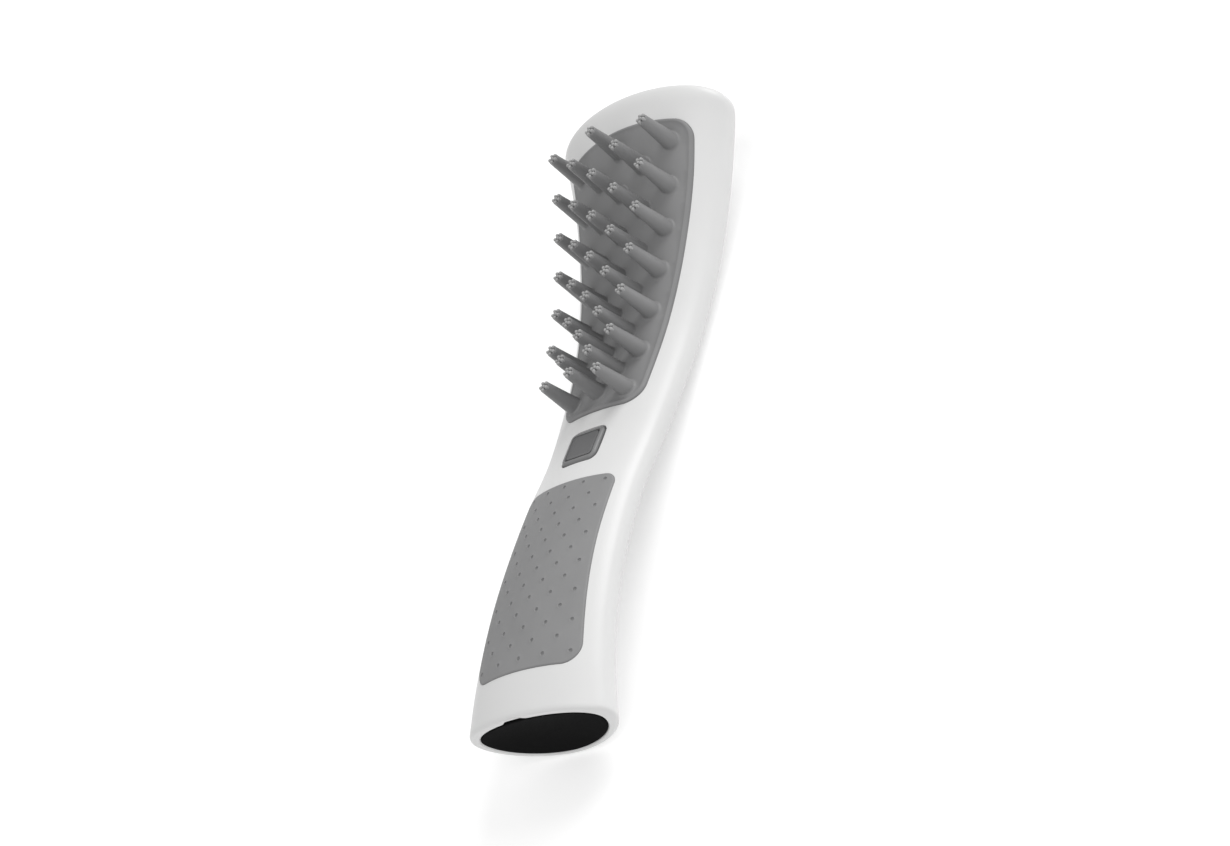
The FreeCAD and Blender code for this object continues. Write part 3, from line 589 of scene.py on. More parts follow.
def own_place(nodes):
    """The object's own coordinates, in metres."""
    return nodes.new("ShaderNodeTexCoord").outputs["Object"]


def noise(nodes, links, scale, detail=3.0, stretch=None):
    """Noise in the object's own coordinates. stretch squeezes it along some axes."""
    source = own_place(nodes)
    texture = nodes.new("ShaderNodeTexNoise")
    put(texture, {"Scale": scale, "Detail": detail})
    if stretch:
        mapping = nodes.new("ShaderNodeMapping")
        put(mapping, {"Scale": stretch})
        links.new(source, mapping.inputs["Vector"])
        source = mapping.outputs["Vector"]
    links.new(source, texture.inputs["Vector"])
    return texture.outputs["Fac"]


def spread(nodes, links, value, low, high, from_low=TONE_RANGE[0], from_high=TONE_RANGE[1]):
    """A value's range stretched to run from low to high."""
    remap = nodes.new("ShaderNodeMapRange")
    put(remap, {"From Min": from_low, "From Max": from_high, "To Min": low, "To Max": high})
    links.new(value, remap.inputs["Value"])
    return remap.outputs["Result"]


def tone(nodes, links, value, dark, light):
    """A colour between dark and light, picked by a value."""
    ramp = nodes.new("ShaderNodeValToRGB")
    for stop, position, colour in zip(ramp.color_ramp.elements, TONE_RANGE, (dark, light)):
        stop.position = position
        stop.color = (*colour, 1)
    links.new(value, ramp.inputs["Fac"])
    return ramp.outputs["Color"]


def bump(nodes, links, shader, height, distance):
    """Surface relief from a height, for grain too fine to model."""
    node = nodes.new("ShaderNodeBump")
    put(node, {"Distance": distance, "Strength": 1.0})
    links.new(height, node.inputs["Height"])
    links.new(node.outputs["Normal"], shader.inputs["Normal"])


def moulded(name, colour, vary, rough, grain=2500.0, depth=0.00001, specular=0.5, metallic=0.0,
            stretch=None):
    """Moulded plastic, rubber or metal: mottled colour, uneven gloss and a fine grain, depth in metres."""
    material, nodes, links, shader = new_material(name)
    colour = np.array(colour)
    cloud = noise(nodes, links, 60.0, 4.0, stretch)
    dark, light = colour * (1 - vary), np.minimum(colour * (1 + vary), 1.0)
    links.new(tone(nodes, links, cloud, dark, light), shader.inputs["Base Color"])
    fine = noise(nodes, links, grain, 2.0, stretch)
    links.new(spread(nodes, links, fine, rough[0], rough[1]), shader.inputs["Roughness"])
    bump(nodes, links, shader, fine, depth)
    put(shader, {"Specular IOR Level": specular, "Metallic": metallic})
    return material


def silicone(name, colour, nub_highlight_colour):
    """Soft grey silicone, with a painted highlight: the bristles' nubs get a paler colour."""
    material, nodes, links, shader = new_material(name)
    colour = np.array(colour)
    cloud = noise(nodes, links, 60.0, 4.0)
    body = tone(nodes, links, cloud, colour * 0.95, colour * 1.05)
    # Painted highlight: a paler colour mixed in on the marked nub points, standing in for light catching
    # the nubs
    nub_highlight = nodes.new("ShaderNodeAttribute")
    nub_highlight.attribute_name = "nub_highlight"
    mix = nodes.new("ShaderNodeMix")
    mix.data_type = "RGBA"
    put(mix, {"B": (*nub_highlight_colour, 1)})
    links.new(nub_highlight.outputs["Fac"], mix.inputs["Factor"])
    links.new(body, mix.inputs["A"])
    links.new(mix.outputs["Result"], shader.inputs["Base Color"])
    fine = noise(nodes, links, 3000.0, 2.0)
    links.new(spread(nodes, links, fine, 0.46, 0.58), shader.inputs["Roughness"])
    bump(nodes, links, shader, fine, 0.000012)
    put(shader, {"Specular IOR Level": 0.4})
    return material


def brushed(name, colour, rough=(0.25, 0.42)):
    """Metal with fine streaks along its length."""
    return moulded(name, colour, 0.08, rough, 900.0, 0.00001, 0.5, 1.0, (1.0, 8.0, 8.0))


def wound_copper(name):
    """Enamelled wire wound along the armature: fine ridges round its length."""
    material, nodes, links, shader = new_material(name)
    wave = nodes.new("ShaderNodeTexWave")
    wave.bands_direction = "X"
    put(wave, {"Scale": 900.0, "Distortion": 1.5})
    links.new(own_place(nodes), wave.inputs["Vector"])
    wire = tone(nodes, links, wave.outputs["Fac"], (0.30, 0.10, 0.035), (0.75, 0.36, 0.16))
    links.new(wire, shader.inputs["Base Color"])
    bump(nodes, links, shader, wave.outputs["Fac"], 0.00008)
    put(shader, {"Metallic": 0.9, "Roughness": 0.32})
    return material


def laminate(name):
    """Green board with a faint weave and lighter patches where tracks run."""
    material, nodes, links, shader = new_material(name)
    tracks = nodes.new("ShaderNodeTexBrick")
    put(tracks, {"Scale": 220.0, "Mortar Size": 0.06, "Mortar": (0.03, 0.21, 0.09, 1)})
    put(tracks, {"Color1": (0.012, 0.11, 0.045, 1), "Color2": (0.015, 0.13, 0.05, 1)})
    links.new(own_place(nodes), tracks.inputs["Vector"])
    links.new(tracks.outputs["Color"], shader.inputs["Base Color"])
    weave = noise(nodes, links, 2500.0, 2.0)
    links.new(spread(nodes, links, weave, 0.3, 0.45), shader.inputs["Roughness"])
    bump(nodes, links, shader, tracks.outputs["Fac"], 0.00003)
    return material


def cell_sleeve(name):
    """Printed battery sleeve with no lettering: a dark body and a lighter end band."""
    material, nodes, links, shader = new_material(name)
    split = nodes.new("ShaderNodeSeparateXYZ")
    links.new(own_place(nodes), split.inputs["Vector"])
    band = spread(nodes, links, split.outputs["X"], *TONE_RANGE, *CELL_BAND_X)
    wrap = tone(nodes, links, band, (0.05, 0.055, 0.065), (0.42, 0.30, 0.13))
    links.new(wrap, shader.inputs["Base Color"])
    scuff = noise(nodes, links, 500.0, 5.0)
    links.new(spread(nodes, links, scuff, 0.22, 0.4), shader.inputs["Roughness"])
    bump(nodes, links, shader, scuff, 0.00001)
    put(shader, {"Metallic": 0.35})
    return material


SHELL_WHITE = moulded("shell_white", (0.66, 0.66, 0.658), 0.012, (0.34, 0.42), 3500.0, 0.000004, 0.4)
# The second colour is a painted highlight on the bristles' nubs
PAD_SILICONE = silicone("pad_silicone", (0.21, 0.21, 0.212), (0.34, 0.34, 0.34))
GRIP_RUBBER = moulded("grip_rubber", (0.232, 0.232, 0.234), 0.04, (0.52, 0.64), 3600.0, 0.000014, 0.35)
BEZEL_GREY = moulded("bezel_grey", (0.185, 0.185, 0.187), 0.04, (0.36, 0.46), 3000.0, 0.000008, 0.4)
BUTTON_GREY = moulded("button_grey", (0.12, 0.12, 0.122), 0.05, (0.42, 0.52), 3400.0, 0.000012, 0.35)
CAP_BLACK = moulded("cap_black", (0.0048, 0.0048, 0.005), 0.15, (0.5, 0.62), 2600.0, 0.00001, 0.012)

FINE_MATERIALS = {
    "cover_screws": brushed("screw_steel", (0.56, 0.56, 0.58)),
    "cap_seal": moulded("seal_rubber", (0.02, 0.02, 0.02), 0.2, (0.6, 0.75), 2500.0, 0.00002, 0.3),
    "pad_carrier": moulded("carrier_plastic", (0.36, 0.36, 0.36), 0.05, (0.4, 0.5)),
    "battery_tray": moulded("tray_plastic", (0.03, 0.03, 0.032), 0.15, (0.4, 0.55), 2200.0, 0.00002),
    "positive_contact": brushed("contact_steel", (0.75, 0.75, 0.74), (0.2, 0.34)),
    "battery_left": cell_sleeve("cell_wrap"),
    "circuit_board": laminate("board_laminate"),
    "switch_body": moulded("switch_plastic", (0.02, 0.02, 0.02), 0.2, (0.35, 0.5)),
    "motor_can": brushed("motor_steel", (0.62, 0.62, 0.63)),
    "motor_end_bell": moulded("motor_plastic", (0.72, 0.69, 0.62), 0.05, (0.4, 0.52)),
    "motor_magnets": moulded("magnet", (0.055, 0.055, 0.06), 0.25, (0.55, 0.7), 1800.0, 0.00003),
    "armature": wound_copper("copper"),
    "commutator": brushed("brass", (0.80, 0.60, 0.28)),
    "motor_wire_red": moulded("wire_red", (0.50, 0.02, 0.015), 0.12, (0.35, 0.45), 1800.0, 0.00001),
    "motor_wire_black": moulded("wire_black", (0.018, 0.018, 0.018), 0.2, (0.35, 0.45), 1800.0, 0.00001),
}

# Nodes that wear one of the frame's own plain materials
PLAIN_MATERIALS = {
    "screw_steel": ["carrier_screws", "board_screws", "clamp_screws"],
    "contact_steel": ["negative_contact", "negative_spring", "cap_spring", "cap_bridge_contact",
                      "motor_terminals"],
    "cell_wrap": ["battery_right"],
    "switch_plastic": ["switch_plunger"],
    "motor_steel": ["motor_shaft", "motor_clamp"],
    "brass": ["eccentric_weight"],
    "wire_red": ["battery_wire_red"],
    "wire_black": ["battery_wire_black"],
}


def dress(node, material):
    """Gives one of the frame's nodes a material and smooth shading."""
    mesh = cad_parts[node].data
    mesh.materials.clear()
    mesh.materials.append(material)
    mesh.shade_smooth()
    mesh.set_sharp_from_angle(angle=math.radians(CAD_SHARP_ANGLE))


for node, material in FINE_MATERIALS.items():
    dress(node, material)
for name, plain_nodes in PLAIN_MATERIALS.items():
    for node in plain_nodes:
        dress(node, bpy.data.materials[name])


# ---- casing ----

SKIN_SPACING = 1.6
INNER_SPACING = 3.2
TURN_SCALE = 22.0
RING_SIDES = 120
HEEL_START = HEEL_X + HEEL_EDGE_X
HEAD_START = HEAD_X - HEAD_EDGE_X
INNER_X = (HEEL_X + CAP_DEPTH, HEAD_X - WALL)

pad_outline = plan_outline(PAD_LINE, PAD_X, PAD_CORNER_R, PAD_ARCH)
grip_outline = plan_outline(GRIP_LINE, GRIP_X, GRIP_CORNER_R)
cover_line = [(x, COVER_FRACTION * w) for x, w in HALF_WIDTH_LINE]
cover_outline = plan_outline(cover_line, COVER_X, COVER_CORNER_R, spacing=1.6)

cover_screw_places = [(x, y * side) for x, y in COVER_SCREW_XY for side in (-1, 1)]

button_slope = float(front_z(BUTTON_X + 1, 0.0) - front_z(BUTTON_X - 1, 0.0)) / 2
button_turn = math.atan(button_slope)
button_origin = np.array([BUTTON_X, 0.0, float(front_z(BUTTON_X, 0.0))])
button_axes = np.array([
    [math.cos(button_turn), 0.0, math.sin(button_turn)],
    [0.0, 1.0, 0.0],
    [-math.sin(button_turn), 0.0, math.cos(button_turn)],
])


def from_button(points):
    """Points of the button's own frame in the row frame."""
    return button_origin + np.asarray(points, float) @ button_axes


def button_on_skin(plan, off):
    """Where lines along the button's axis, through plan points of its frame, meet the skin."""
    depth = np.zeros(len(plan))
    for _ in range(8):
        p = from_button(np.column_stack([plan, depth]))
        depth += (front_z(p[:, 0], p[:, 1], off) - p[:, 2]) / button_axes[2, 2]
    return from_button(np.column_stack([plan, depth]))


def turn_of(points, off, back=False):
    """Flat coordinates, x and scaled turn, of points on the skin moved by off."""
    half = smooth(HALF_WIDTH_LINE, points[:, 0]) + off
    turn = np.arccos(np.clip(points[:, 1] / half, -1, 1))
    if back:
        turn = 2 * math.pi - turn
    return np.column_stack([points[:, 0], turn * TURN_SCALE])


def half_skin(piece, x_ends, off, back, holes, spacing):
    """Fills the front or back half of the skin between two stations, less its holes."""
    count = RING_SIDES // 2
    start = math.pi if back else 0.0
    turns = start + np.arange(count + 1) * math.pi / count
    xs = np.linspace(x_ends[0], x_ends[1], int((x_ends[1] - x_ends[0]) / spacing) + 1)
    border = np.array(
        [(x, turns[0]) for x in xs[:-1]]
        + [(xs[-1], t) for t in turns[:-1]]
        + [(x, turns[-1]) for x in xs[:0:-1]]
        + [(xs[0], t) for t in turns[:0:-1]]
    )
    numbers = [piece.add(skin_point(*border.T, off, off))]
    flats = [border * np.array([1, TURN_SCALE])]
    for hole in holes:
        flats.append(turn_of(piece.at(hole), off, back))
        numbers.append(hole)
    piece.fill(flats, numbers, spacing,
               lambda g: skin_point(g[:, 0], g[:, 1] / TURN_SCALE, off, off))


def ring_at(piece, x, side, face, shift=(0.0, 0.0, 0.0)):
    """Ring of points round the section at x, grown by side and face and then shifted."""
    turns = np.arange(RING_SIDES) * 2 * math.pi / RING_SIDES
    return piece.add(skin_point(np.full(RING_SIDES, x), turns, side, face) + np.array(shift))


def along_cap(depth):
    """The shift from the heel's own section to a depth in along the cap's slope."""
    return (depth, 0, depth * CAP_SLOPE - CAP_DROP)


def heel_rim(piece):
    """Soft rim of the heel, from the skin to the cap's socket and in to the cavity."""
    loops = []
    for a in arc(0, 90, 7):
        inward = 1 - math.cos(a)
        x = HEEL_X + HEEL_EDGE_X * (1 - math.sin(a))
        loops.append(ring_at(piece, x, -HEEL_EDGE_SIDE * inward, -HEEL_EDGE_FACE * inward))
    for a in arc(90, 0, 4):
        side = -CAP_SIDE_INSET + SOCKET_EDGE_SIDE * math.sin(a)
        face = -CAP_FACE_INSET + SOCKET_EDGE_FACE * math.sin(a)
        depth = SOCKET_EDGE_DEPTH * (1 - math.sin(a))
        loop = ring_at(piece, HEEL_X, side, face, along_cap(depth))
        lift_loop(piece, loop, 1.0)
        loops.append(loop)
    below_notch = NOTCH_DEPTH + 0.25
    for depth, share in ((NOTCH_DEPTH, 1.0), (below_notch, 0.0), (CAP_DEPTH / 2, 0.0), (CAP_DEPTH, 0.0)):
        loop = ring_at(piece, HEEL_X, -CAP_SIDE_INSET, -CAP_FACE_INSET, along_cap(depth))
        lift_loop(piece, loop, share)
        loops.append(loop)
    loops.append(ring_at(piece, INNER_X[0], -WALL, -WALL))
    piece.strips(loops)


def lift_loop(piece, loop, share):
    """Cuts the finger notch into a ring of the rim."""
    for i in loop:
        x, y, z = piece.points[i]
        if z > NOTCH_ABOVE_Z:
            lift = NOTCH_RISE * max(0.0, 1 - ((y - NOTCH_Y) / NOTCH_HALF) ** 2)
            piece.points[i] = [x, y, z + share * lift]


def arched(points):
    """Bows the head's end outward in plan."""
    points = np.array(points)
    half = smooth(HALF_WIDTH_LINE, np.minimum(points[:, 0], HEAD_X))
    share = np.clip((points[:, 0] - HEAD_ARCH_START) / (HEAD_X - HEAD_ARCH_START), 0, 1)
    points[:, 0] += share * (HEAD_CROWN - HEAD_ARCH * (points[:, 1] / half) ** 2)
    return points


def head_end(piece):
    """Rounded end of the head."""
    loops = []
    for a in arc(0, 90, 8):
        inward = 1 - math.cos(a)
        x = HEAD_START + HEAD_EDGE_X * math.sin(a)
        loops.append(ring_at(piece, x, -HEAD_EDGE_SIDE * inward, -HEAD_EDGE_FACE * inward))
    close_end(piece, loops)


def close_end(piece, loops, shares=CLOSING_SHARES, middle=None):
    """Joins rings and closes the last with smaller and smaller rings about a middle."""
    last = piece.at(loops[-1])
    if middle is None:
        middle = last.mean(0)
    for share in shares:
        loops.append(piece.add(middle + (last - middle) * share))
    piece.strips(loops)
    piece.fan(loops[-1], middle)


def front_pockets(piece):
    """Pockets for the pad and the grip. Returns their outer rings."""
    holes = []
    for outline, depth in ((pad_outline, POCKET_DEPTH), (grip_outline, GRIP_DEPTH + SEAT_GAP)):
        loops = [piece.add(ring) for ring in edge_rings(outline, VISIBLE_GAP, EDGE_R, on_front)]
        wall = outline[0] + outline[1] * VISIBLE_GAP
        loops.append(piece.add(on_front(wall, -depth)))
        piece.strips(loops)
        piece.fill([wall], [loops[-1]], POCKET_SPACING, lambda g, d=depth: on_front(g, -d))
        holes.append(loops[0])
    return holes


def bezel_hole(piece):
    """Hole for the button's surround, right through the wall. Returns its outer and inner rings."""
    size = (BUTTON_BEZEL[0] + SEAM_GAP, BUTTON_BEZEL[1] + SEAM_GAP)
    outline = rounded_rectangle(size, BUTTON_BEZEL_R)
    loops = [piece.add(ring) for ring in edge_rings(outline, 0.0, BUTTON_HOLE_EDGE_R, button_on_skin)]
    loops.append(piece.add(button_on_skin(outline[0], -WALL)))
    piece.strips(loops)
    return loops[0], loops[-1]


def cover_opening(piece):
    """Opening for the rear cover, with the ledge for its flange. Returns its outer and inner rings."""
    points, normals = cover_outline
    loops = [piece.add(ring) for ring in edge_rings(cover_outline, SEAM_GAP, COVER_EDGE_R, on_back)]
    ledge = -FLANGE_T - SEAT_GAP
    for grow, off in ((SEAM_GAP, ledge), (SEAM_GAP - REBATE, ledge), (SEAM_GAP - REBATE, -WALL)):
        loops.append(piece.add(on_back(points + normals * grow, off)))
    piece.strips(loops)
    return loops[0], loops[-1]


def pocket_back(piece):
    """Thicker wall behind the pad's pocket. Returns the ring where it meets the inner skin."""
    rim = pad_outline[0] + pad_outline[1] * POCKET_RIM
    top = piece.add(on_front(rim, -WALL))
    bottom = piece.add(on_front(rim, -POCKET_BACK))
    piece.strips([top, bottom])
    piece.fill([rim], [bottom], POCKET_BACK_SPACING, lambda g: on_front(g, -POCKET_BACK))
    return top


def screw_posts(piece):
    """Posts for the cover's screws and for the circuit board's."""
    for x, y in cover_screw_places:
        low = float(back_z(x, y)) + COVER_SCREW_HEAD_H + SCREW_SUNK + SCREW_SEAT_T + SEAT_GAP
        height = float(front_z(x, y)) - WALL * 0.6 - low
        profile = [(PILOT_R, PILOT_DEPTH), (PILOT_R, 0), (BOSS_R - BOSS_CHAMFER, 0)]
        profile += [(BOSS_R, BOSS_CHAMFER), (BOSS_R, height)]
        piece.lathe((x, y, low), (0, 0, 1), profile)
    pilot_r, pilot_depth = BOARD_POST_PILOT
    profile = [(pilot_r, pilot_depth), (pilot_r, 0), (BOARD_POST_R - BOARD_POST_CHAMFER, 0)]
    profile += [(BOARD_POST_R, BOARD_POST_CHAMFER), (BOARD_POST_R, BOARD_DEPTH - BOARD_POST_SHORT)]
    for x, y in BOARD_SCREW_XY:
        base = from_button([[x, y, -BOARD_DEPTH]])[0]
        piece.lathe(base, button_axes[2], profile)


def make_casing():
    """White body: outer and inner skin with its pockets, openings, rims and posts."""
    piece = Piece()
    heel_rim(piece)
    head_end(piece)
    pockets = front_pockets(piece)
    outer_button, inner_button = bezel_hole(piece)
    outer_cover, inner_cover = cover_opening(piece)
    inner_pocket = pocket_back(piece)

    outer_x = (HEEL_START, HEAD_START)
    half_skin(piece, outer_x, 0.0, False, [*pockets, outer_button], SKIN_SPACING)
    half_skin(piece, outer_x, 0.0, True, [outer_cover], SKIN_SPACING)
    half_skin(piece, INNER_X, -WALL, False, [inner_pocket, inner_button], INNER_SPACING)
    half_skin(piece, INNER_X, -WALL, True, [inner_cover], INNER_SPACING)
    close_end(piece, [ring_at(piece, INNER_X[1], -WALL, -WALL)])
    piece.points = arched(piece.points).tolist()
    screw_posts(piece)
    return piece.object("casing_shell", SHELL_WHITE)


# ---- rear cover ----

def make_cover():
    """Flush rear cover with its flange, screw wells and motor cradle."""
    piece = Piece()
    points, normals = cover_outline
    loops = [piece.add(ring) for ring in edge_rings(cover_outline, 0.0, -COVER_EDGE_R, on_back)]
    body = -REBATE - SEAT_GAP
    for grow, off in ((0.0, -FLANGE_T), (body, -FLANGE_T), (body, -WALL)):
        loops.append(piece.add(on_back(points + normals * grow, off)))
    piece.strips(loops)
    wells = [screw_well(piece, x, y) for x, y in cover_screw_places]
    outer, inner = zip((loops[0], loops[-1]), *wells)
    piece.fill_plan(outer, SKIN_SPACING, lambda g: on_back(g, 0.0))
    piece.fill_plan(inner, INNER_SPACING, lambda g: on_back(g, -WALL))
    motor_cradle(piece)
    return piece.object("back_cover", SHELL_WHITE)


def screw_well(piece, x, y):
    """Sunk seat for a cover screw. Returns its rings in the outer and the inner skin."""
    seat = float(back_z(x, y)) + COVER_SCREW_HEAD_H + SCREW_SUNK
    r = SCREW_WELL_EDGE_R
    rings = [piece.add(on_back(circle(x, y, SCREW_WELL_R + r + EDGE_SUPPORT), 0.0))]
    for a in arc(0, 90, 4):
        ring = circle(x, y, SCREW_WELL_R + r * (1 - math.sin(a)))
        rings.append(piece.add(on_back(ring, -r * (1 - math.cos(a)))))
    under = seat + SCREW_SEAT_T
    for radius, z in ((SCREW_WELL_R, seat), (SCREW_HOLE_R, seat), (SCREW_HOLE_R, under), (BOSS_R, under)):
        flat = circle(x, y, radius)
        rings.append(piece.add(np.column_stack([flat, np.full(len(flat), z)])))
    rings.append(piece.add(on_back(circle(x, y, BOSS_R), -WALL)))
    piece.strips(rings)
    return rings[0], rings[-1]


def motor_cradle(piece):
    """Two saddles and two clamp posts standing on the cover."""
    for y in SADDLE_Y:
        saddle(piece, y)
    pilot_r, pilot_floor = CLAMP_PILOT
    top, edge = CLAMP_POST_HEIGHT, CLAMP_POST_CHAMFER
    profile = [(pilot_r, top), (pilot_r, pilot_floor), (0.01, pilot_floor), (0.01, 0)]
    profile += [(CLAMP_POST_R, 0), (CLAMP_POST_R, top - edge), (CLAMP_POST_R - edge, top)]
    for side in (-1, 1):
        piece.lathe((MOTOR_X + side * CLAMP_POST_SIDE, CLAMP_POST_Y, CRADLE_Z), (0, 0, 1), profile)


def saddle(piece, y):
    """Upright plate with a round seat for the motor can."""
    half_x, half_y = SADDLE_HALF
    top = MOTOR_Z - SADDLE_TOP_DROP
    outline = [(MOTOR_X - half_x, CRADLE_Z), (MOTOR_X + half_x, CRADLE_Z), (MOTOR_X + half_x, top)]
    dip = math.asin(SADDLE_TOP_DROP / CAN_R)
    for t in np.linspace(-dip, -math.pi + dip, SADDLE_STEPS):
        outline.append((MOTOR_X + CAN_R * math.cos(t), MOTOR_Z + CAN_R * math.sin(t)))
    outline.append((MOTOR_X - half_x, top))
    near = piece.add([(x, y - half_y, z) for x, z in outline])
    far = piece.add([(x, y + half_y, z) for x, z in outline])
    piece.strip(near, far)
    flat = [Vector((x, z, 0)) for x, z in outline]
    for triangle in geometry.tessellate_polygon([flat]):
        piece.faces.append(tuple(near[i] for i in triangle))
        piece.faces.append(tuple(far[i] for i in triangle[::-1]))


# ---- bristle pad ----

def bristle_places():
    """(x, y, length) of each bristle: rows of three and two by turns, closer together at the neck."""
    places = []
    for row in range(BRISTLE_ROWS):
        share = row / (BRISTLE_ROWS - 1)
        pitch = BRISTLE_PITCH_Y[0] + (BRISTLE_PITCH_Y[1] - BRISTLE_PITCH_Y[0]) * share
        columns = (-2, 0, 2) if row % 2 == 0 else (-1, 1)
        for column in columns:
            x = BRISTLE_FIRST_X - row * BRISTLE_PITCH_X - BRISTLE_ARCH * column ** 2
            length = BRISTLE_LENGTH - BRISTLE_END_DROP * (2 * share - 1) ** 2
            places.append((x, column * pitch, length))
    return places


def bristle(piece, x, y, length):
    """One bristle growing out of the pad. Returns the ring where it meets the pad's face."""
    base = float(front_z(x, y, PAD_PROUD))
    top = float(front_z(x, y)) + length - NUB_H - base

    def ring(radius, height):
        plan = circle(x, y, radius, BRISTLE_SIDES)
        lean = front_z(*plan.T, PAD_PROUD) - base
        lean *= (1 - height / top) ** BRISTLE_LEAN_FADE
        return piece.add(np.column_stack([plan, base + height + lean]))

    def stem_r(height):
        return BRISTLE_TIP_R + (BRISTLE_BASE_R - BRISTLE_TIP_R) * (1 - height / top) ** BRISTLE_TAPER

    foot_r = stem_r(BRISTLE_FILLET)
    loops = [ring(foot_r + BRISTLE_FILLET + BRISTLE_FOOT_RIM, 0.0)]
    for a in arc(0, 90, 6):
        radius = foot_r + BRISTLE_FILLET * (1 - math.sin(a))
        loops.append(ring(radius, BRISTLE_FILLET * (1 - math.cos(a))))
    for height in np.linspace(BRISTLE_FILLET, top - TIP_RIM_R, STEM_RINGS + 1)[1:]:
        loops.append(ring(stem_r(height), height))
    rim_r = stem_r(top - TIP_RIM_R)
    for a in arc(0, 90, 3)[1:]:
        loops.append(ring(rim_r - TIP_RIM_R * (1 - math.cos(a)), top - TIP_RIM_R * (1 - math.sin(a))))

    inner = rim_r - TIP_RIM_R
    for share in (0.8, 0.5):
        loops.append(ring(inner * share, top - TIP_DISH * (1 - share ** 2)))
    piece.strips(loops)
    piece.fan(loops[-1], (x, y, base + top - TIP_DISH))

    # Crown of rounded nubs on the end
    places = [(0.0, 0.0)]
    for k in range(NUB_COUNT):
        t = NUB_TURN + 2 * math.pi * k / NUB_COUNT
        places.append((NUB_RING_R * math.cos(t), NUB_RING_R * math.sin(t)))
    profile = [(NUB_R, -NUB_ROOT)]
    for a in arc(0, 75, 4):
        profile.append((NUB_R * math.cos(a), NUB_H - NUB_R * (1 - math.sin(a))))
    # The nubs' points are marked for the pad material's painted highlight
    start = len(piece.points)
    for nx, ny in places:
        piece.lathe((x + nx, y + ny, base + top), (0, 0, 1), profile, NUB_SIDES)
    piece.highlight_points.extend(range(start, len(piece.points)))
    return loops[0]


def make_pad():
    """Silicone pad with a raised bead round its face and all its bristles."""
    piece = Piece()
    points, normals = pad_outline
    loops = []
    for inset, rise in PAD_BEAD:
        loops.append(piece.add(on_front(points - normals * (PAD_EDGE_R + inset), PAD_PROUD + rise)))
    edge = edge_rings(pad_outline, 0.0, -PAD_EDGE_R, on_front, PAD_PROUD, 6)
    loops += [piece.add(ring) for ring in edge[1:]]
    loops.append(piece.add(on_front(points, -PAD_DEPTH)))
    piece.strips(loops)
    piece.fill([points], [loops[-1]], POCKET_SPACING, lambda g: on_front(g, -PAD_DEPTH))
    feet = [bristle(piece, *place) for place in bristle_places()]
    piece.fill_plan([loops[0], *feet], FACE_SPACING, lambda g: on_front(g, PAD_PROUD))
    return piece.object("silicone_pad", PAD_SILICONE, SOFT_SHARP_ANGLE)


# ---- grip ----

def dimple_places():
    """Centres of the grip's dimples: staggered rows, wider apart towards the heel."""
    places = []
    for row in range(DIMPLE_ROWS):
        x = DIMPLE_FIRST_X - row * DIMPLE_PITCH_X
        pitch = float(smooth(DIMPLE_PITCH_Y, x))
        columns = np.arange(-2, 3) if row % 2 == 0 else np.arange(-1.5, 2)
        for column in columns:
            y = column * pitch
            if abs(y) < smooth(GRIP_LINE, x) - DIMPLE_EDGE_ROOM:
                places.append((x, y))
    return places


def dimple(piece, x, y):
    """Small round dimple with a soft lip. Returns its outer ring."""
    levels = [(share, DIMPLE_LIP * rise) for share, rise in DIMPLE_LIP_RINGS]
    levels += [(share, -DIMPLE_DEPTH * sink) for share, sink in DIMPLE_BOWL_RINGS]
    rings = []
    for share, rise in levels:
        flat = circle(x, y, DIMPLE_R * share, DIMPLE_SIDES)
        rings.append(piece.add(on_front(flat, GRIP_PROUD + rise)))
    piece.strips(rings)
    piece.fan(rings[-1], (x, y, float(front_z(x, y, GRIP_PROUD - DIMPLE_DEPTH))))
    return rings[0]


def make_grip():
    """Soft grip inlay with a rounded edge and dimples."""
    piece = Piece()
    points = grip_outline[0]
    edge = edge_rings(grip_outline, 0.0, -GRIP_EDGE_R, on_front, GRIP_PROUD)
    loops = [piece.add(ring) for ring in edge]
    loops.append(piece.add(on_front(points, -GRIP_DEPTH)))
    piece.strips(loops)
    piece.fill([points], [loops[-1]], POCKET_SPACING, lambda g: on_front(g, -GRIP_DEPTH))
    dimples = [dimple(piece, x, y) for x, y in dimple_places()]
    piece.fill_plan([loops[0], *dimples], FACE_SPACING, lambda g: on_front(g, GRIP_PROUD))
    return piece.object("grip_skin", GRIP_RUBBER, SOFT_SHARP_ANGLE)


# ---- power button ----

def framed_rings(piece, size, corner_r, levels):
    """Rings of a rounded rectangle in the button's frame from (inset, height) pairs."""
    points, normals = rounded_rectangle(size, corner_r)
    loops = []
    for inset, z in levels:
        flat = points - normals * inset
        loops.append(piece.add(from_button(np.column_stack([flat, np.full(len(flat), z)]))))
    return loops


def make_bezel():
    """Surround of the button: a flange under the casing's wall and a rounded frame above it."""
    piece = Piece()
    foot = BEZEL_SEAT - BEZEL_FLANGE_T
    levels = [(-BEZEL_FLANGE, foot), (-BEZEL_FLANGE, BEZEL_SEAT), (BEZEL_GROOVE, BEZEL_SEAT)]
    levels += [(BEZEL_GROOVE + inset, z) for inset, z in BEZEL_SHOULDER]
    levels += [(BUTTON_BEZEL_RIM - outset, z) for outset, z in BEZEL_LIP]
    levels.append((BUTTON_BEZEL_RIM, foot))
    loops = framed_rings(piece, BUTTON_BEZEL, BUTTON_BEZEL_R, levels)
    piece.strips([*loops, loops[0]])
    return piece.object("button_frame", BEZEL_GREY)


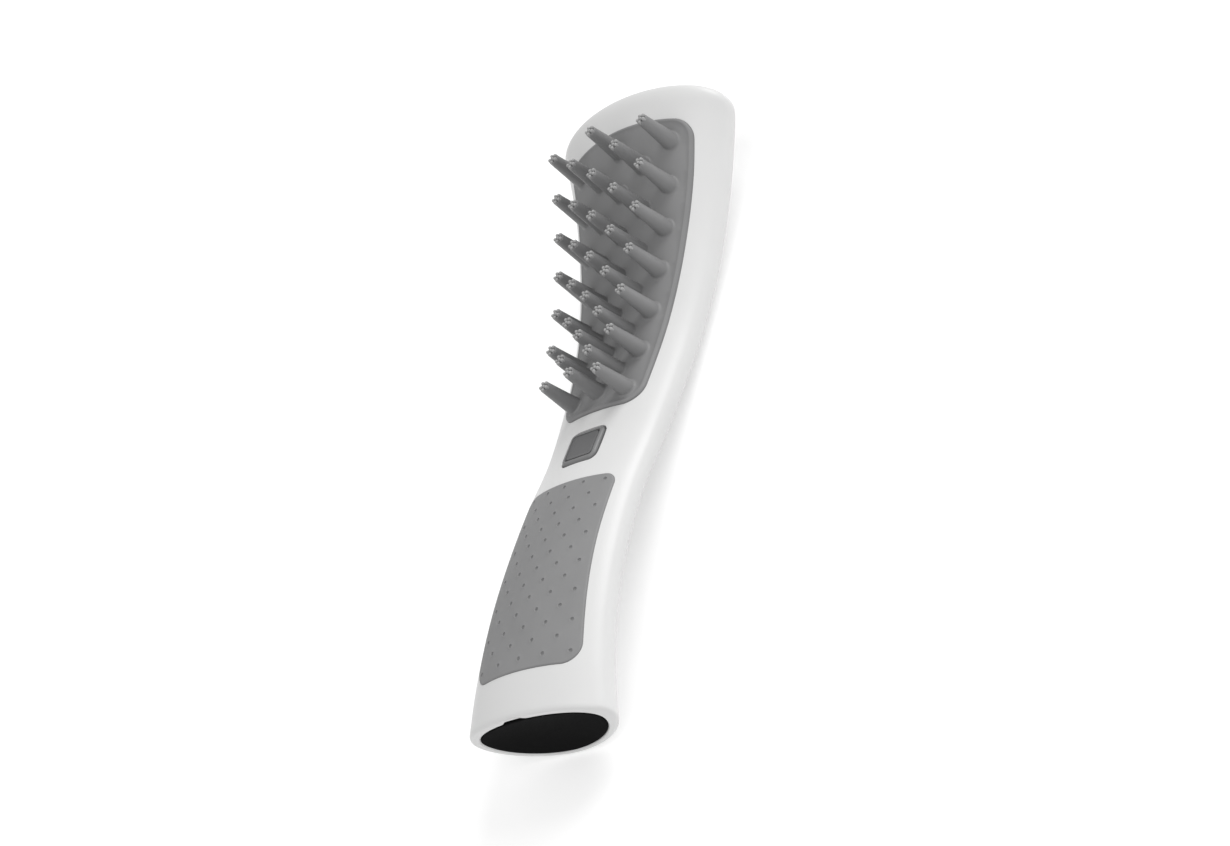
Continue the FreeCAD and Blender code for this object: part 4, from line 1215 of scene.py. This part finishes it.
def make_key():
    """Key cap with a softly rounded edge and a slightly dished top, on its flange and stem."""
    piece = Piece()
    size = [d - 2 * BUTTON_BEZEL_RIM - 2 * BUTTON_GAP for d in BUTTON_BEZEL]
    top_of_flange = BEZEL_SEAT - KEY_FLANGE_DROP
    foot = top_of_flange - KEY_FLANGE
    g = BUTTON_GROOVE
    levels = [(-KEY_FLANGE, foot), (-KEY_FLANGE, top_of_flange), (g, top_of_flange), (g, KEY_EDGE_Z)]
    for a in arc(0, 90):
        levels.append((g + KEY_EDGE_R * (1 - math.cos(a)), KEY_EDGE_Z + KEY_EDGE_R * math.sin(a)))
    levels += [(g + inset, z) for inset, z in KEY_TOP]
    loops = framed_rings(piece, size, BUTTON_HOLE_R - BUTTON_GAP, levels)
    close_end(piece, loops, KEY_CLOSING_SHARES, from_button([[0, 0, KEY_MIDDLE_Z]])[0])
    piece.faces.append(tuple(loops[0][::-1]))
    stem = foot + STEM_ROOT
    length = stem + BOARD_DEPTH - PLUNGER_TOP
    profile = [(STEM_R, 0), (STEM_R, length - STEM_CHAMFER), (STEM_R - STEM_CHAMFER, length)]
    piece.lathe(from_button([[0, 0, stem]])[0], -button_axes[2], profile)
    return piece.object("button_key", BUTTON_GREY)


# ---- end cap ----

def make_cap():
    """Oval cap with a dished face, a groove for its seal and a hollow behind."""
    piece = Piece()

    def oval(depth, inset):
        side, face = -CAP_SIDE_INSET - CAP_GAP - inset, -CAP_FACE_INSET - CAP_GAP - inset
        return ring_at(piece, HEEL_X, side, face, along_cap(depth))

    seal_front, seal_back = CAP_SEAL_X
    profile = [(CAP_RECESS + CAP_FACE_T, CAP_WALL), (CAP_DEPTH, CAP_WALL), (CAP_DEPTH, CAP_CHAMFER)]
    profile += [(CAP_DEPTH - CAP_CHAMFER, 0), (seal_back, 0), (seal_back, CAP_SEAL_DEPTH)]
    profile += [(seal_front, CAP_SEAL_DEPTH), (seal_front, 0)]
    for a in arc(0, 90):
        profile.append((CAP_RECESS + CAP_EDGE_R * (1 - math.sin(a)), CAP_EDGE_R * (1 - math.cos(a))))
    loops = [oval(depth, inset) for depth, inset in profile]
    rim = piece.at(loops[-1])
    middle = rim.mean(0)
    for share in CAP_DISH_SHARES:
        dish = np.array([(1 - share ** 2) * CAP_DISH, 0, 0])
        loops.append(piece.add(middle + (rim - middle) * share + dish))
    piece.strips(loops)
    piece.fan(loops[-1], middle + np.array([CAP_DISH, 0, 0]))
    piece.fan(loops[0][::-1], piece.at(loops[0]).mean(0))
    pin_x, pin_y, pin_z = CAP_PIN_XYZ
    pin = [(CAP_PIN_R, 0), (CAP_PIN_R, CAP_PIN_LENGTH - CAP_PIN_CHAMFER)]
    pin.append((CAP_PIN_R - CAP_PIN_CHAMFER, CAP_PIN_LENGTH))
    for y in (-pin_y, pin_y):
        piece.lathe((HEEL_X + pin_x, y, pin_z), (1, 0, 0), pin)
    return piece.object("cap_shell", CAP_BLACK)


PIECES = [
    (make_casing, "root", "front_casing", "shell_white"),
    (make_cover, "root", "rear_cover", "shell_white"),
    (make_pad, "root", "bristle_pad", "pad_silicone"),
    (make_grip, "root", "grip_inlay", "grip_rubber"),
    (make_bezel, "root", "button_bezel", "bezel_grey"),
    (make_key, "button", "power_button", "button_grey"),
    (make_cap, "cap", "end_cap", "cap_black"),
]
for make, body, node, slot in PIECES:
    made = make()
    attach(made, body)
    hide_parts(node)


# ---- floor, light and camera ----

FLOOR_GLOW = 0.36
FLOOR_HALF = 3000.0
FLOOR_Z = -0.15
WORLD_STRENGTH = 0.42


def make_floor():
    """Pale table that gives off some light of its own, so that shadows stay faint."""
    piece = Piece()
    ends = (-FLOOR_HALF, FLOOR_HALF)
    near, far = [[(x, y, FLOOR_Z) for x in ends] for y in ends]
    piece.faces.append(tuple(piece.add(near + far[::-1])))
    pale = moulded("floor_pale", (0.72, 0.72, 0.72), 0.004, (0.85, 0.95), 40.0, 0.0, 0.0)
    shader = pale.node_tree.nodes["Principled BSDF"]
    put(shader, {"Emission Color": (1, 1, 1, 1), "Emission Strength": FLOOR_GLOW})
    floor = piece.object("studio_floor", pale)


def soft_sun(name, direction, spread_deg, power):
    """Wide, soft sun shining from a direction."""
    data = bpy.data.lights.new(name, "SUN")
    data.angle = math.radians(spread_deg)
    data.energy = power
    lamp = bpy.data.objects.new(name, data)
    lamp.location = Vector(direction).normalized()
    lamp.rotation_euler = lamp.location.to_track_quat("Z", "Y").to_euler()
    bpy.context.scene.collection.objects.link(lamp)


def make_light():
    """Even white surroundings, a soft key from the head's near side and a weaker one from above."""
    world = bpy.data.worlds.new("studio")
    bpy.context.scene.world = world
    world.use_nodes = True
    put(world.node_tree.nodes["Background"], {"Color": (1, 1, 1, 1), "Strength": WORLD_STRENGTH})
    soft_sun("key", (0.74, -0.5, 0.48), 38.0, 1.85)
    soft_sun("top", (-0.4, -0.1, 1.0), 70.0, 1.32)


def make_camera():
    """Looks from the heel's near side, high up, rolled so that the brush stands upright."""
    data = bpy.data.cameras.new("camera")
    data.sensor_width = 36.0
    data.lens = 78.73
    camera = bpy.data.objects.new("camera", data)
    right = Vector((0.16896087, -0.69867148, -0.69520529))
    up = Vector((0.85526342, -0.24664194, 0.45573264))
    place = (-0.37972, -0.51963, 0.44051)
    turn = Matrix((right, up, right.cross(up))).transposed()
    camera.matrix_world = Matrix.Translation(place) @ turn.to_4x4()
    bpy.context.scene.collection.objects.link(camera)
    bpy.context.scene.camera = camera


make_floor()
make_light()
make_camera()
bpy.context.scene.view_settings.view_transform = "Standard"
